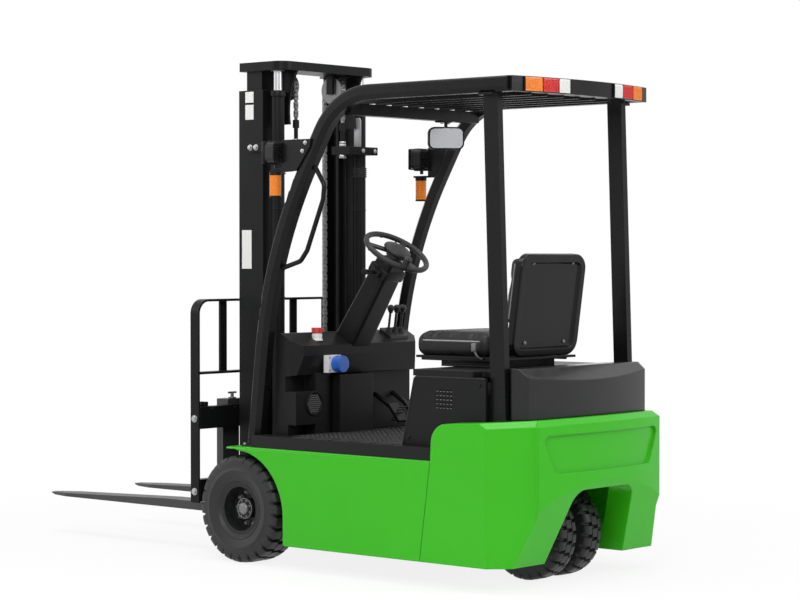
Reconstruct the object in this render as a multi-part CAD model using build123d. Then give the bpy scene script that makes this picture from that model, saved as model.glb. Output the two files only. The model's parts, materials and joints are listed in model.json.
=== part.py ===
from build123d import *
import os

# A three-wheel electric counterbalance forklift, millimetres.
# Truck frame: X forward, Y left, Z up, origin on the floor under the front axle.
# Every piece is modelled there, and save() moves the origin to under the middle of the whole truck.

# Driving dimensions: overall
WHEELBASE = 1230.0
HALF_WIDTH = 537.0
REAR_X = -1545.0
FORK_TIP_X = 1466.0
RUN_GAP = 0.3
CUT = 1.0

# Driving dimensions: wheels
FRONT_TYRE_R = 228.0
FRONT_TYRE_W = 178.0
FRONT_RIM_R = 103.0
FRONT_LUGS = 18
TREAD_INSET = 10.0
REAR_TYRE_R = 190.0
REAR_TYRE_W = 118.0
REAR_RIM_R = 88.0
REAR_WHEEL_Y = 85.0
REAR_LUGS = 16
FLANGE_R_OVER_SEAT = 16.0
FLANGE_T = 7.0
BARREL_T = 9.0
BEAD_SHARE = 0.68
SHOULDER = 12.0
SLOT_W = 15.0
SLOT_DEPTH = 16.0
HUB_R = 48.0
CAP_R = 42.0
CAP_STEP_R = 26.0
CAP_STEP = 9.0
DISC_T = 16.0
FRONT_CAP_REACH = 48.0
FRONT_DISC_Y = -10.0
REAR_CAP_REACH = 30.0

# Driving dimensions: steering yoke
YOKE_HALF = 17.0
YOKE_HUB_R = 40.0
YOKE_SHAFT_R = 20.0
YOKE_PLATE_R = 118.0
YOKE_PLATE_T = 26.0
YOKE_LEG_HALF = 70.0
KINGPIN_R = 45.0
KINGPIN_LENGTH = 60.0
CAVITY_PLAY = 6.0

# Driving dimensions: frame and body
PANEL_TOP_Z = 492.0
PANEL_BOTTOM_Z = 97.0
PANEL_T = 10.0
PANEL_ROUND = 8.0
PLATE_T = 12.0
SEAM_BOTTOM_X = -1023.0
SEAM_TOP_X = -1076.0
SEAM_GAP = 3.0
FRAME_REAR_GAP = 20.0
PAN_RISE = 8.0
FENDER_TIP_X = 50.0
FENDER_REACH = 192.0
FENDER_T = 8.0
ARCH_R = 272.0
BULKHEAD_X = -290.0
DECK_Z = 539.0
MAT_T = 6.0
SILL_W = 99.0
SILL_TAPER = 8.0
CHEEK_T = 25.0
CHEEK_NOSE_R = 56.0
CHEEK_FOOT_Z = (130.0, 345.0)
AXLE_TUBE_R = 36.0
AXLE_BOWL_R = 74.0
AXLE_BOWL_HALF = 70.0

# Driving dimensions: dashboard
COWL_FRONT_X = -112.0
COWL_REAR_X = -229.0
COWL_SIDE_GAP = 135.0
COWL_TOP_Z = 970.0
COWL_SHELF_Z = 918.0
COWL_WALL = 55.0
COWL_BROW = 30.0
COWL_LIP = 8.0
COWL_LIP_H = 42.0
COWL_KNEE_H = 130.0
COWL_SKIN = 25.0
COWL_CORNER = 43.0
PEDESTAL_X = -262.0
PEDESTAL_Y = (-48.0, 165.0)
PEDESTAL_TOP_Z = 790.0
CONSOLE_W = 212.0
CONSOLE_TOP_Z = 726.0
CONSOLE_TOWER_W = 90.0
CONSOLE_KICK = 46.0
SOCKET_W = 78.0
SOCKET_H = 74.0
SOCKET_D = 28.0
SOCKET_CAP_R = 34.0
SOCKET_CAP_D = 42.0
STOP_X = -190.0
STOP_R = 24.0
STOP_H = 22.0
STOP_FOOT = 14.0
LEVER_X = (-214.0, -150.0)
LEVER_PITCH = 40.0
LEVER_TOP_Z = 1066.0
LEVER_BALL_R = 16.0
PEDAL_X = -300.0
PEDAL_Z = 615.0
PEDAL_LEAN = 40.0
PEDAL_L = 96.0

# Driving dimensions: counterweight
EAR_TOP_Z = 641.0
EAR_R = 80.0
EAR_LEAN = 6.0
REAR_TOP_Z = 668.0
KNEE_Z = 415.0
KNEE_R = 60.0
UNDERCUT = 118.0
CORNER_CUT = 130.0
REAR_BOW = 62.0
RIM_CHAMFER = 24.0
STEER_CAVITY_R = 262.0
STEER_CAVITY_Z = 432.0
REAR_ARCH_HALF = 285.0
REAR_ARCH_TOP_HALF = 190.0
REAR_ARCH_Z = 384.0
REAR_ARCH_R = 70.0
SHIELD_TOP = (390.0, 606.0)
SHIELD_FOOT = (312.0, 458.0)
SHIELD_DEPTH = 12.0
SHIELD_R = 26.0
BAY_WALL = 64.0
BAY_REAR_X = -1336.0

# Driving dimensions: hood, covers and seat
HOOD_Z = 848.0
HOOD_T = 26.0
HOOD_REAR_X = -1326.0
HOOD_NOTCH = 106.0
HOOD_POST_GAP = 7.0
HOOD_CORNER_R = 12.0
HINGE_R = 5.0
HINGE_RISE = 8.0
HINGE_Y = 200.0
HINGE_HALF = 40.0
HINGE_LEAF_T = 5.0
COVER_INSET = 85.0
COVER_T = 14.0
COVER_FOOT_X = -862.0
COVER_RAKE = 62.0
COVER_REAR_X = -1286.0
COVER_STEP = 150.0
COVER_R = 26.0
REAR_COVER_Z = 862.0
REAR_COVER_HALF = 408.0
REAR_COVER_X = -1482.0
REAR_COVER_BOW = 35.0
REAR_COVER_FACET = 54.0
REAR_COVER_POST_X = -1374.0
SEAT_HALF = 240.0
SEAT_FRONT_X = -715.0
SEAT_REAR_X = -1195.0
CUSHION_Z = 892.0
CUSHION_T = 98.0
CUSHION_R = 40.0
BACK_TOP_Z = 1312.0
BACK_LEAN = 8.0
BACK_W = 430.0
BACK_PAD_T = 62.0
BACK_PAD_FOOT = 118.0
BACK_SHELL_T = 26.0
BACK_R = 64.0

# Driving dimensions: overhead guard
RAIL_INSET = 96.0
RAIL_W = 54.0
RAIL_H = 60.0
RAIL_BEVEL = 18.0
RAIL_ROUND = 12.0
RAIL_Z = 1960.0
RAIL_REAR_X = -1398.0
LEG_FOOT_X = -30.0
LEG_KNEE = (-126.0, 1308.0)
LEG_KNEE_R = 1900.0
RAIL_KNEE_X = -502.0
RAIL_KNEE_R = 310.0
POST_INSET = 30.0
POST_D = 70.0
POST_W = 32.0
POST_FOOT_X = -1330.0
POST_LEAN = 43.0
POST_CAP_T = 10.0
BEAM_HALF = 450.0
BEAM_BOW = 55.0
BEAM_MID_X = -1466.0
BEAM_H = 60.0
ROOF_BARS = 7
ROOF_BAR_PITCH = 104.0
ROOF_BAR_T = 12.0
ROOF_BAR_H = 38.0
FRONT_BEAM_X = -530.0
FRONT_BEAM_HALF = 24.0
LAMP_OUTER_Y = 390.0
LAMP_H = 54.0
LAMP_D = 6.0
AMBER_L = 89.0
RED_L = 87.0
WHITE_L = 65.0
HEADLAMP_X = -180.0
HEADLAMP_Z = 1728.0
HEADLAMP_W = 92.0
HEADLAMP_H = 88.0
HEADLAMP_D = 50.0
HEADLAMP_LENS_T = 10.0
HEADLAMP_FINS = 6
HEADLAMP_PLATE_T = 8.0
SIGNAL_X = -176.0
SIGNAL_Z = 1594.0
SIGNAL_R = 24.0
SIGNAL_H = 104.0
GRAB_R = 10.0
GRAB_BEND_R = 40.0
MIRROR_X = -548.0
MIRROR_Y = -196.0
MIRROR_Z = 1800.0
MIRROR_W = 156.0
MIRROR_H = 98.0
MIRROR_T = 22.0
MIRROR_RIM = 7.0
MIRROR_R = 28.0
MIRROR_TURN = 40.0

# Driving dimensions: steering column
COLUMN_FOOT = (-163.0, 0.0, 898.0)
COLUMN_LEAN = 33.5
COLUMN_LENGTH = 452.0
COLUMN_W = 118.0
COLUMN_D = 92.0
COLUMN_SUNK = 190.0
COLUMN_R = 20.0
WHEEL_RISE = 46.0
STEERING_R = 152.0
STEERING_GRIP_R = 12.0
STEERING_HUB_R = 38.0
STEERING_SHAFT_R = 17.0
SPINNER_R = 16.0
SPINNER_H = 40.0

# Driving dimensions: mast
MAST_REAR_X = 58.0
MAST_DEPTH = 142.0
MAST_SIDE_GAP = 40.0
OUTER_WEB = 16.0
OUTER_FLANGE = 20.0
OUTER_FLANGE_W = 80.0
INNER_WEB = 20.0
INNER_FLANGE = 14.0
INNER_FLANGE_W = 78.0
MAST_RUN = 6.0
OUTER_BOTTOM_Z = 80.0
INNER_BOTTOM_Z = 262.0
TOP_BEAM_Z = 2092.0
TOP_BEAM_T = 38.0
TOP_BEAM_R = 58.0
TOP_BEAM_REACH = 40.0
OUTER_TOP_DROP = 82.0
CROSS_T = 17.0
LOWER_CROSS_Z = (310.0, 430.0)
MIDDLE_CROSS_Z = (830.0, 930.0)
INNER_CROSS_T = 16.0
INNER_CROSS_Z = (330.0, 430.0)
LIFT_BARREL_R = 28.0
LIFT_ROD_R = 19.0
LIFT_INSET = 43.0
LIFT_FOOT_Z = 312.0
LIFT_FOOT_T = 18.0
LIFT_OVERLAP = 298.0
LIFT_WALL_GAP = 5.0
CLAMP_DROP = 230.0
CLAMP_H = 35.0
CLAMP_ARM_T = 20.0
CLAMP_ARM_X = 132.0
TRUNNION_R = 66.0
TRUNNION_W = 55.0
TRUNNION_GAP = 30.0
ROLLER_PLAY = 0.5
GUSSET_T = 8.0
GUSSET_H = 230.0
GUSSET_D = 98.0
GUSSET_WAVE = 22.0
CHAIN_INSET = 55.0
CHAIN_W = 26.0
CHAIN_T = 14.0
SHEAVE_R = 54.0
SHEAVE_X = 62.0
SHEAVE_PIN_R = 11.0
SHEAVE_DROP = 62.0
ANCHOR_BOLT_R = 9.0
ANCHOR_BOLT_H = 70.0
CLEVIS_H = 35.0

# Driving dimensions: carriage, forks and load backrest
FORK_BAR_X = 255.0
FORK_BAR_T = 38.0
FORK_BAR_HALF = 490.0
UPPER_BAR_Z = 552.0
LOWER_BAR_Z = 240.0
BAR_H = 95.0
BAR_NOTCHES = 7
BAR_NOTCH_PITCH = 140.0
BAR_NOTCH_W = 16.0
BAR_NOTCH_H = 9.0
CARRIAGE_INSET = 35.0
CARRIAGE_PLATE_T = 25.0
CARRIAGE_PLATE_TOP = 660.0
CARRIAGE_PLATE_REACH = 29.0
CARRIAGE_TIE_Z = (520.0, 560.0)
CARRIAGE_AXLE_R = 16.0
CARRIAGE_ROLLER_W = 29.0
FORK_Y = 264.0
FORK_W = 100.0
FORK_T = 38.0
FORK_TIP_T = 12.0
FORK_TIP_TAPER = 130.0
FORK_BOTTOM_Z = 174.0
FORK_HEEL_R = 34.0
FORK_HOOK_H = 26.0
FORK_HOOK_INSET = 8.0
BACKREST_TOP_Z = 1110.0
BACKREST_BAR = 48.0
BACKREST_T = 10.0
BACKREST_R = 62.0
BACKREST_MID_Z = 787.0
BACKREST_INNER_YS = (117.0, 328.0)
BACKREST_INNER_W = 40.0

# Driving dimensions: tilt cylinders
TILT_INSET = 115.0
TILT_REAR = (-480.0, 400.0)
TILT_EYE = (12.0, 440.0)
TILT_BARREL_R = 34.0
TILT_BARREL_LENGTH = 330.0
TILT_ROD_R = 17.0
TILT_PIN_R = 12.0
TILT_EYE_R = 21.0
TILT_EYE_PLAY = 1.5
TILT_EYE_HALF = 20.0
TILT_LUG_T = 14.0
TILT_LUG_REACH = 32.0
TILT_LUG_PLAY = 5.0
TILT_NECK_R = 28.0
TILT_SLOT_HALF = 48.0
TILT_SLOT_Z = (350.0, 470.0)

# Places that follow from the driving dimensions
AXLE_Z = FRONT_TYRE_R
STEER_X = -WHEELBASE
ORIGIN_SHIFT = -(REAR_X + FORK_TIP_X) / 2
FRAME_HALF = HALF_WIDTH - PANEL_T
FRAME_REAR_X = max(SEAM_BOTTOM_X, SEAM_TOP_X) + FRAME_REAR_GAP
FRONT_WHEEL_Y = HALF_WIDTH - TREAD_INSET - FRONT_TYRE_W / 2
FENDER_INNER_Y = HALF_WIDTH - FENDER_REACH
SILL_INNER_Y = HALF_WIDTH - SILL_W
COVER_Y = HALF_WIDTH - COVER_INSET
BAY_HALF = COVER_Y - BAY_WALL
COWL_HALF = HALF_WIDTH - COWL_SIDE_GAP
CONSOLE_INNER_Y = COWL_HALF - CONSOLE_W
RAIL_Y = HALF_WIDTH - RAIL_INSET
POST_LINE_Y = RAIL_Y - POST_INSET
RAIL_BOTTOM_Z = RAIL_Z - RAIL_H / 2
FRONT_BEAM_TOP_Z = RAIL_Z - ROOF_BAR_H
YOKE_TOP_Z = STEER_CAVITY_Z - CAVITY_PLAY
MAST_FRONT_X = MAST_REAR_X + MAST_DEPTH
MAST_MID_X = MAST_REAR_X + MAST_DEPTH / 2
MAST_HALF = FENDER_INNER_Y - MAST_SIDE_GAP
CROSS_REAR_X = MAST_REAR_X - CROSS_T
OUTER_TOP_Z = TOP_BEAM_Z - OUTER_TOP_DROP
INNER_X0 = MAST_REAR_X + OUTER_FLANGE + MAST_RUN
INNER_X1 = MAST_FRONT_X - OUTER_FLANGE - MAST_RUN
INNER_WEB_Y = MAST_HALF - OUTER_WEB - MAST_RUN
INNER_EDGE_Y = INNER_WEB_Y - INNER_FLANGE_W
LIFT_X = CROSS_REAR_X - LIFT_WALL_GAP - LIFT_BARREL_R
LIFT_Y = MAST_HALF - LIFT_INSET
LIFT_STROKE = OUTER_TOP_Z - LIFT_FOOT_Z - LIFT_OVERLAP
CLAMP_TOP_Z = OUTER_TOP_Z - CLAMP_DROP
CHAIN_Y = INNER_EDGE_Y - CHAIN_INSET
SHEAVE_Z = TOP_BEAM_Z - SHEAVE_DROP
CHAIN_ANCHOR_Z = CLAMP_TOP_Z + ANCHOR_BOLT_H + CLEVIS_H
ROLLER_R = MAST_DEPTH / 2 - OUTER_FLANGE - ROLLER_PLAY
ROLLER_Z = INNER_BOTTOM_Z - ROLLER_R - MAST_RUN
CARRIAGE_PLATE_Y = INNER_EDGE_Y - CARRIAGE_INSET
CARRIAGE_ROLLER_R = (INNER_X1 - INNER_X0) / 2 - INNER_FLANGE - ROLLER_PLAY
FORK_FACE_X = FORK_BAR_X + FORK_BAR_T
TILT_Y = MAST_HALF - TILT_INSET
CHEEK_Y = TILT_Y - CHEEK_T - PLATE_T
TRUNNION_INNER_Y = CHEEK_Y + CHEEK_T + TRUNNION_GAP
TRUNNION_OUTER_Y = TRUNNION_INNER_Y + TRUNNION_W


def save(name, shape):
    """Write one piece, moved from the truck frame to the part's own frame."""
    export_step(Pos(ORIGIN_SHIFT, 0, 0) * shape, f"parts/{name}.step")


def block(x0, x1, y0, y1, z0, z1):
    """Block between two corners."""
    return Pos((x0 + x1) / 2, (y0 + y1) / 2, (z0 + z1) / 2) * Box(x1 - x0, y1 - y0, z1 - z0)


def drum_y(x, z, radius, y0, y1):
    """Round bar along Y."""
    return Pos(x, (y0 + y1) / 2, z) * Rot(90, 0, 0) * Cylinder(radius, y1 - y0)


def drum_z(x, y, radius, z0, z1):
    """Round bar along Z."""
    return Pos(x, y, (z0 + z1) / 2) * Cylinder(radius, z1 - z0)


def drum_x(y, z, radius, x0, x1):
    """Round bar along X."""
    return Pos((x0 + x1) / 2, y, z) * Rot(0, 90, 0) * Cylinder(radius, x1 - x0)


def outline(*points):
    """Closed straight-sided face in the sketch plane."""
    return make_face(Polyline(*points, close=True))


def rounded(face, radius, *corners):
    """A face with the corners at the named points rounded."""
    near = [v for v in face.vertices() if any(abs(v.X - x) + abs(v.Y - y) < CUT for x, y in corners)]
    return fillet(near, radius)


def slab_xz(face, y0, y1):
    """A face drawn in X and Z, as thick as y0 to y1."""
    return extrude(Plane.XZ.offset(-y1) * face, amount=y1 - y0)


def slab_yz(face, x0, x1):
    """A face drawn in Y and Z, as thick as x0 to x1."""
    return extrude(Plane.YZ.offset(x0) * face, amount=x1 - x0)


def slab_xy(face, z0, z1):
    """A face drawn in X and Y, as thick as z0 to z1."""
    return extrude(Plane.XY.offset(z0) * face, amount=z1 - z0)


def mirrored(shape):
    """The same piece on the truck's other side."""
    return mirror(shape, about=Plane.XZ)


def both(shape):
    """A piece and its mirror image, as one node."""
    return Compound(children=[shape, mirrored(shape)])


def bar_along(start, end, radius):
    """Round bar between two points."""
    line = Line(start, end)
    return extrude(Plane(origin=start, z_dir=line % 0) * Circle(radius), amount=line.length)


def bowed_plan(front_x, half, side_x, middle_x):
    """Plan with a straight front edge and a rear edge bowed from side_x at its ends to middle_x."""
    ends = Polyline((side_x, half), (front_x, half), (front_x, -half), (side_x, -half))
    return make_face(ends + ThreePointArc((side_x, -half), (middle_x, 0), (side_x, half)))


# Wheels


def tyre(radius, seat_r, width, y, lugs):
    """Solid tyre of pneumatic shape about its axis: narrow bead, bulged flank and slotted shoulders."""
    half = width / 2
    bead = half * BEAD_SHARE
    flank_r = seat_r + FLANGE_R_OVER_SEAT + (radius - seat_r) * 0.35
    right = (
        (seat_r, bead),
        (seat_r + FLANGE_R_OVER_SEAT, bead),
        (flank_r, half),
        (radius - 2 * SHOULDER, half),
        (radius - SHOULDER / 4, half - SHOULDER),
        (radius, half - 3 * SHOULDER),
    )
    left = [(r, -across) for r, across in right]
    ring = revolve(outline(*left, *reversed(right)), Axis.Y)
    slot = Pos(radius, 0, 0) * Box(2 * SLOT_DEPTH, width, SLOT_W)
    slot = slot - Box(3 * radius, width - 6 * SHOULDER, 2 * SLOT_W)
    cuts = [Rot(0, 360 * index / lugs, 0) * slot for index in range(lugs)]
    return Pos(0, y, radius) * (ring - cuts)


def rim(seat_r, width, radius, y, disc_y, hub_r, hub_end_y, cap_end_y):
    """Wheel rim: flanged barrel, disc, hub drum towards the axle and stepped cap outwards, offsets from y."""
    bead = width / 2 * BEAD_SHARE
    lip = seat_r + FLANGE_R_OVER_SEAT
    barrel = revolve(
        outline(
            (seat_r - BARREL_T, -bead - FLANGE_T),
            (lip, -bead - FLANGE_T),
            (lip, -bead - RUN_GAP),
            (seat_r - RUN_GAP, -bead - RUN_GAP),
            (seat_r - RUN_GAP, bead + RUN_GAP),
            (lip, bead + RUN_GAP),
            (lip, bead + FLANGE_T),
            (seat_r - BARREL_T, bead + FLANGE_T),
        ),
        Axis.Y,
    )
    disc = drum_y(0, 0, seat_r - BARREL_T / 2, disc_y - DISC_T / 2, disc_y + DISC_T / 2)
    hub = drum_y(0, 0, hub_r, min(hub_end_y, disc_y), max(hub_end_y, disc_y))
    cap = drum_y(0, 0, CAP_R, disc_y, cap_end_y - CAP_STEP) + drum_y(0, 0, CAP_STEP_R, disc_y, cap_end_y)
    return Pos(0, y, radius) * (barrel + disc + hub + cap)


def front_wheel():
    """Left drive wheel: tyre and rim about the front axle."""
    rubber = tyre(FRONT_TYRE_R, FRONT_RIM_R, FRONT_TYRE_W, FRONT_WHEEL_Y, FRONT_LUGS)
    axle_end = FENDER_INNER_Y + RUN_GAP - FRONT_WHEEL_Y
    metal = rim(
        FRONT_RIM_R, FRONT_TYRE_W, FRONT_TYRE_R, FRONT_WHEEL_Y, FRONT_DISC_Y, HUB_R, axle_end, FRONT_CAP_REACH
    )
    return rubber, metal


def steer_wheels():
    """Twin rear wheels on one axle that runs through the fork of the steering yoke."""
    rubber = tyre(REAR_TYRE_R, REAR_RIM_R, REAR_TYRE_W, REAR_WHEEL_Y, REAR_LUGS)
    inner = YOKE_HALF + RUN_GAP - REAR_WHEEL_Y
    metal = rim(REAR_RIM_R, REAR_TYRE_W, REAR_TYRE_R, REAR_WHEEL_Y, 0.0, YOKE_HUB_R, inner, REAR_CAP_REACH)
    at_pivot = Pos(STEER_X, 0, 0)
    shaft = drum_y(0, REAR_TYRE_R, YOKE_SHAFT_R, -REAR_WHEEL_Y, REAR_WHEEL_Y)
    rims = metal + mirrored(metal) + shaft
    return at_pivot * both(rubber), at_pivot * rims


def steer_yoke():
    """Turntable, kingpin and the leg that stands between the twin wheels."""
    plate = drum_z(0, 0, YOKE_PLATE_R, YOKE_TOP_Z - YOKE_PLATE_T, YOKE_TOP_Z)
    pin = drum_z(0, 0, KINGPIN_R, YOKE_TOP_Z, YOKE_TOP_Z + KINGPIN_LENGTH)
    top = YOKE_TOP_Z - YOKE_PLATE_T / 2
    face = outline(
        (-YOKE_LEG_HALF, top), (YOKE_LEG_HALF, top), (YOKE_HUB_R, REAR_TYRE_R), (-YOKE_HUB_R, REAR_TYRE_R)
    )
    leg = slab_xz(face, -YOKE_HALF, YOKE_HALF)
    boss = drum_y(0, REAR_TYRE_R, YOKE_HUB_R, -YOKE_HALF, YOKE_HALF)
    bore = drum_y(0, REAR_TYRE_R, YOKE_SHAFT_R + RUN_GAP, -YOKE_HALF - CUT, YOKE_HALF + CUT)
    return Pos(STEER_X, 0, 0) * (plate + pin + leg + boss - bore)


# Frame and body


def drive_axle():
    """Front axle beam with its gear cases."""
    tube = drum_y(0, AXLE_Z, AXLE_TUBE_R, -FENDER_INNER_Y, FENDER_INNER_Y)
    case = drum_y(0, AXLE_Z, HUB_R + 2 * CUT, TRUNNION_OUTER_Y + MAST_RUN, FENDER_INNER_Y)
    bowl = drum_y(-20, AXLE_Z, AXLE_BOWL_R, -AXLE_BOWL_HALF, AXLE_BOWL_HALF)
    return tube + case + mirrored(case) + bowl


def axle_cheek():
    """Left plate of the frame that carries the axle."""
    low, high = CHEEK_FOOT_Z
    face = outline(
        (BULKHEAD_X, low), (0.0, AXLE_Z - CHEEK_NOSE_R), (0.0, AXLE_Z + CHEEK_NOSE_R), (BULKHEAD_X, high)
    )
    cheek = slab_xz(face, CHEEK_Y, CHEEK_Y + CHEEK_T)
    cheek = cheek + drum_y(0, AXLE_Z, CHEEK_NOSE_R, CHEEK_Y, CHEEK_Y + CHEEK_T)
    return cheek - drum_y(0, AXLE_Z, AXLE_TUBE_R + RUN_GAP, CHEEK_Y - CUT, CHEEK_Y + CHEEK_T + CUT)


def main_frame():
    """Welded frame: bulkheads, side plates, pan, deck, axle cheeks and tilt-cylinder lugs."""
    z0 = PANEL_BOTTOM_Z + PAN_RISE
    z1 = PANEL_TOP_Z - CUT
    deck_z = DECK_Z - PLATE_T
    frame = block(FRAME_REAR_X, BULKHEAD_X, -FRAME_HALF, FRAME_HALF, z0, z0 + PLATE_T)
    for x in (BULKHEAD_X, FRAME_REAR_X):
        frame = frame + block(x - PLATE_T, x, -FRAME_HALF, FRAME_HALF, z0, z1)
        frame = frame + block(x - PLATE_T, x, -SILL_INNER_Y, SILL_INNER_Y, z0, deck_z)
    side = block(FRAME_REAR_X, BULKHEAD_X, FRAME_HALF - PLATE_T, FRAME_HALF, z0, z1)
    half = side + axle_cheek()
    deck = block(FRAME_REAR_X - PLATE_T, COWL_FRONT_X, -SILL_INNER_Y, SILL_INNER_Y, deck_z, DECK_Z)
    slot = block(
        BULKHEAD_X - 2 * PLATE_T,
        BULKHEAD_X + PLATE_T,
        TILT_Y - TILT_SLOT_HALF,
        TILT_Y + TILT_SLOT_HALF,
        *TILT_SLOT_Z,
    )
    frame = frame + deck + half + mirrored(half) - slot - mirrored(slot) - steer_cavity()
    lug = tilt_rear_lugs()
    return frame + lug + mirrored(lug)


def tilt_rear_lugs():
    """Two ears and a pin that hold the left tilt cylinder's rear end, hung from the deck."""
    x, z = TILT_REAR
    inner = TILT_Y - TILT_EYE_HALF - RUN_GAP - TILT_LUG_T
    outer = TILT_Y + TILT_EYE_HALF + RUN_GAP
    ear = block(x - TILT_LUG_REACH, x + TILT_LUG_REACH, 0, TILT_LUG_T, z - TILT_LUG_REACH, DECK_Z - PLATE_T)
    pin = drum_y(x, z, TILT_PIN_R, inner, outer + TILT_LUG_T)
    return Pos(0, inner, 0) * ear + Pos(0, outer, 0) * ear + pin


def side_panel():
    """Left side panel with a rounded top edge and the fender over the front wheel."""
    section = outline(
        (FRAME_HALF, PANEL_BOTTOM_Z),
        (HALF_WIDTH, PANEL_BOTTOM_Z),
        (HALF_WIDTH, PANEL_TOP_Z),
        (FRAME_HALF, PANEL_TOP_Z),
    )
    section = rounded(section, PANEL_ROUND, (HALF_WIDTH, PANEL_TOP_Z))
    skin = slab_yz(section, SEAM_TOP_X + SEAM_GAP, FENDER_TIP_X)
    low = outline(
        (SEAM_TOP_X - CUT, PANEL_BOTTOM_Z - CUT),
        (SEAM_BOTTOM_X + SEAM_GAP, PANEL_BOTTOM_Z - CUT),
        (SEAM_TOP_X + SEAM_GAP, PANEL_TOP_Z + CUT),
        (SEAM_TOP_X - CUT, PANEL_TOP_Z + CUT),
    )
    skin = skin - slab_xz(low, FRAME_HALF - CUT, HALF_WIDTH + CUT)
    arch_x = BULKHEAD_X + PLATE_T + ARCH_R - FENDER_T / 2
    arch_z = PANEL_TOP_Z - FENDER_T - ARCH_R
    tip = FENDER_TIP_X + CUT
    outer = HALF_WIDTH + CUT
    well = drum_y(arch_x, arch_z, ARCH_R, FENDER_INNER_Y, outer)
    well = well + block(arch_x - ARCH_R, tip, FENDER_INNER_Y, outer, 0, arch_z)
    well = well + block(arch_x, tip, FENDER_INNER_Y, outer, 0, PANEL_TOP_Z - FENDER_T)
    roof = block(arch_x - ARCH_R, FENDER_TIP_X, FENDER_INNER_Y, FRAME_HALF + CUT, arch_z, PANEL_TOP_Z)
    return skin + roof - well


def steer_cavity():
    """Round room that the turning twin wheels need."""
    return drum_z(STEER_X, 0, STEER_CAVITY_R, 0, STEER_CAVITY_Z)


def weight_top_z(x):
    """Height of the counterweight's sloping top at a place along the truck."""
    front = SEAM_TOP_X - EAR_LEAN
    return EAR_TOP_Z + (REAR_TOP_Z - EAR_TOP_Z) * (x - front) / (REAR_X - front)


def weight_body():
    """Outer form of the counterweight: leaning profile, bowed back, cut corners and a bevelled rear rim."""
    side = outline(
        (SEAM_BOTTOM_X, PANEL_BOTTOM_Z),
        (SEAM_TOP_X, PANEL_TOP_Z),
        (SEAM_TOP_X - EAR_LEAN, EAR_TOP_Z),
        (REAR_X, REAR_TOP_Z),
        (REAR_X, KNEE_Z),
        (REAR_X + UNDERCUT, PANEL_BOTTOM_Z),
    )
    side = rounded(side, EAR_R, (SEAM_TOP_X - EAR_LEAN, EAR_TOP_Z))
    side = rounded(side, KNEE_R, (REAR_X, KNEE_Z))
    corner_x = REAR_X + REAR_BOW
    body = slab_xz(side, -HALF_WIDTH, HALF_WIDTH) & slab_xy(
        bowed_plan(0, HALF_WIDTH, corner_x, REAR_X), 0, 2 * REAR_TOP_Z
    )
    corner = outline(
        (REAR_X - CUT, HALF_WIDTH + CUT),
        (corner_x + CORNER_CUT, HALF_WIDTH + CUT),
        (corner_x - PANEL_T, HALF_WIDTH - CORNER_CUT),
        (REAR_X - CUT, HALF_WIDTH - CORNER_CUT),
    )
    cut = slab_xy(corner, 0, 2 * REAR_TOP_Z)
    body = body - cut - mirrored(cut)
    top = body.faces().sort_by(Axis.Z)[-1]
    limit = min(corner_x + CORNER_CUT, POST_FOOT_X - POST_D)
    rim_edges = [e for e in top.edges() if e.center().X < limit]
    return chamfer(rim_edges, RIM_CHAMFER)


def counterweight():
    """Cast counterweight with battery bay, steer-wheel cavity, shield recess and an arch at the back."""
    body = weight_body()
    top_y, top_z = SHIELD_TOP
    foot_y, foot_z = SHIELD_FOOT
    shield = outline((top_y, top_z), (foot_y, foot_z), (-foot_y, foot_z), (-top_y, top_z))
    shield = fillet(shield.vertices(), SHIELD_R)
    skin = body - Pos(SHIELD_DEPTH, 0, 0) * body
    recess = skin & slab_yz(shield, REAR_X - CUT, REAR_X + 2 * REAR_BOW)
    top = 2 * REAR_TOP_Z
    bay = block(BAY_REAR_X, 0, -BAY_HALF, BAY_HALF, DECK_Z, top)
    pocket = COVER_Y + SEAM_GAP
    bay = bay + block(COVER_REAR_X - SEAM_GAP, 0, -pocket, pocket, DECK_Z, top)
    arch_face = outline(
        (-REAR_ARCH_HALF, 0),
        (-REAR_ARCH_TOP_HALF, REAR_ARCH_Z),
        (REAR_ARCH_TOP_HALF, REAR_ARCH_Z),
        (REAR_ARCH_HALF, 0),
    )
    tops = (REAR_ARCH_TOP_HALF, REAR_ARCH_Z), (-REAR_ARCH_TOP_HALF, REAR_ARCH_Z)
    arch = slab_yz(rounded(arch_face, REAR_ARCH_R, *tops), REAR_X - CUT, STEER_X)
    socket = drum_z(STEER_X, 0, KINGPIN_R + RUN_GAP, 0, YOKE_TOP_Z + KINGPIN_LENGTH + CAVITY_PLAY)
    return body - recess - bay - steer_cavity() - arch - socket


def step_sill():
    """Black step edge on top of the left side panel."""
    face = outline(
        (SILL_INNER_Y, PANEL_TOP_Z),
        (HALF_WIDTH - SILL_TAPER, PANEL_TOP_Z),
        (HALF_WIDTH - 2 * SILL_TAPER, DECK_Z + MAT_T),
        (SILL_INNER_Y, DECK_Z + MAT_T),
    )
    return slab_yz(face, SEAM_TOP_X + PANEL_T, LEG_FOOT_X - RAIL_H)


def floor_mat():
    """Ribbed rubber mat on the deck, cut round the pedestal."""
    mat = block(COVER_FOOT_X, COWL_REAR_X, -SILL_INNER_Y, SILL_INNER_Y, DECK_Z, DECK_Z + MAT_T)
    return mat - block(PEDESTAL_X, COWL_REAR_X + CUT, *PEDESTAL_Y, DECK_Z - CUT, DECK_Z + 2 * MAT_T)


# Dashboard and controls


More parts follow.
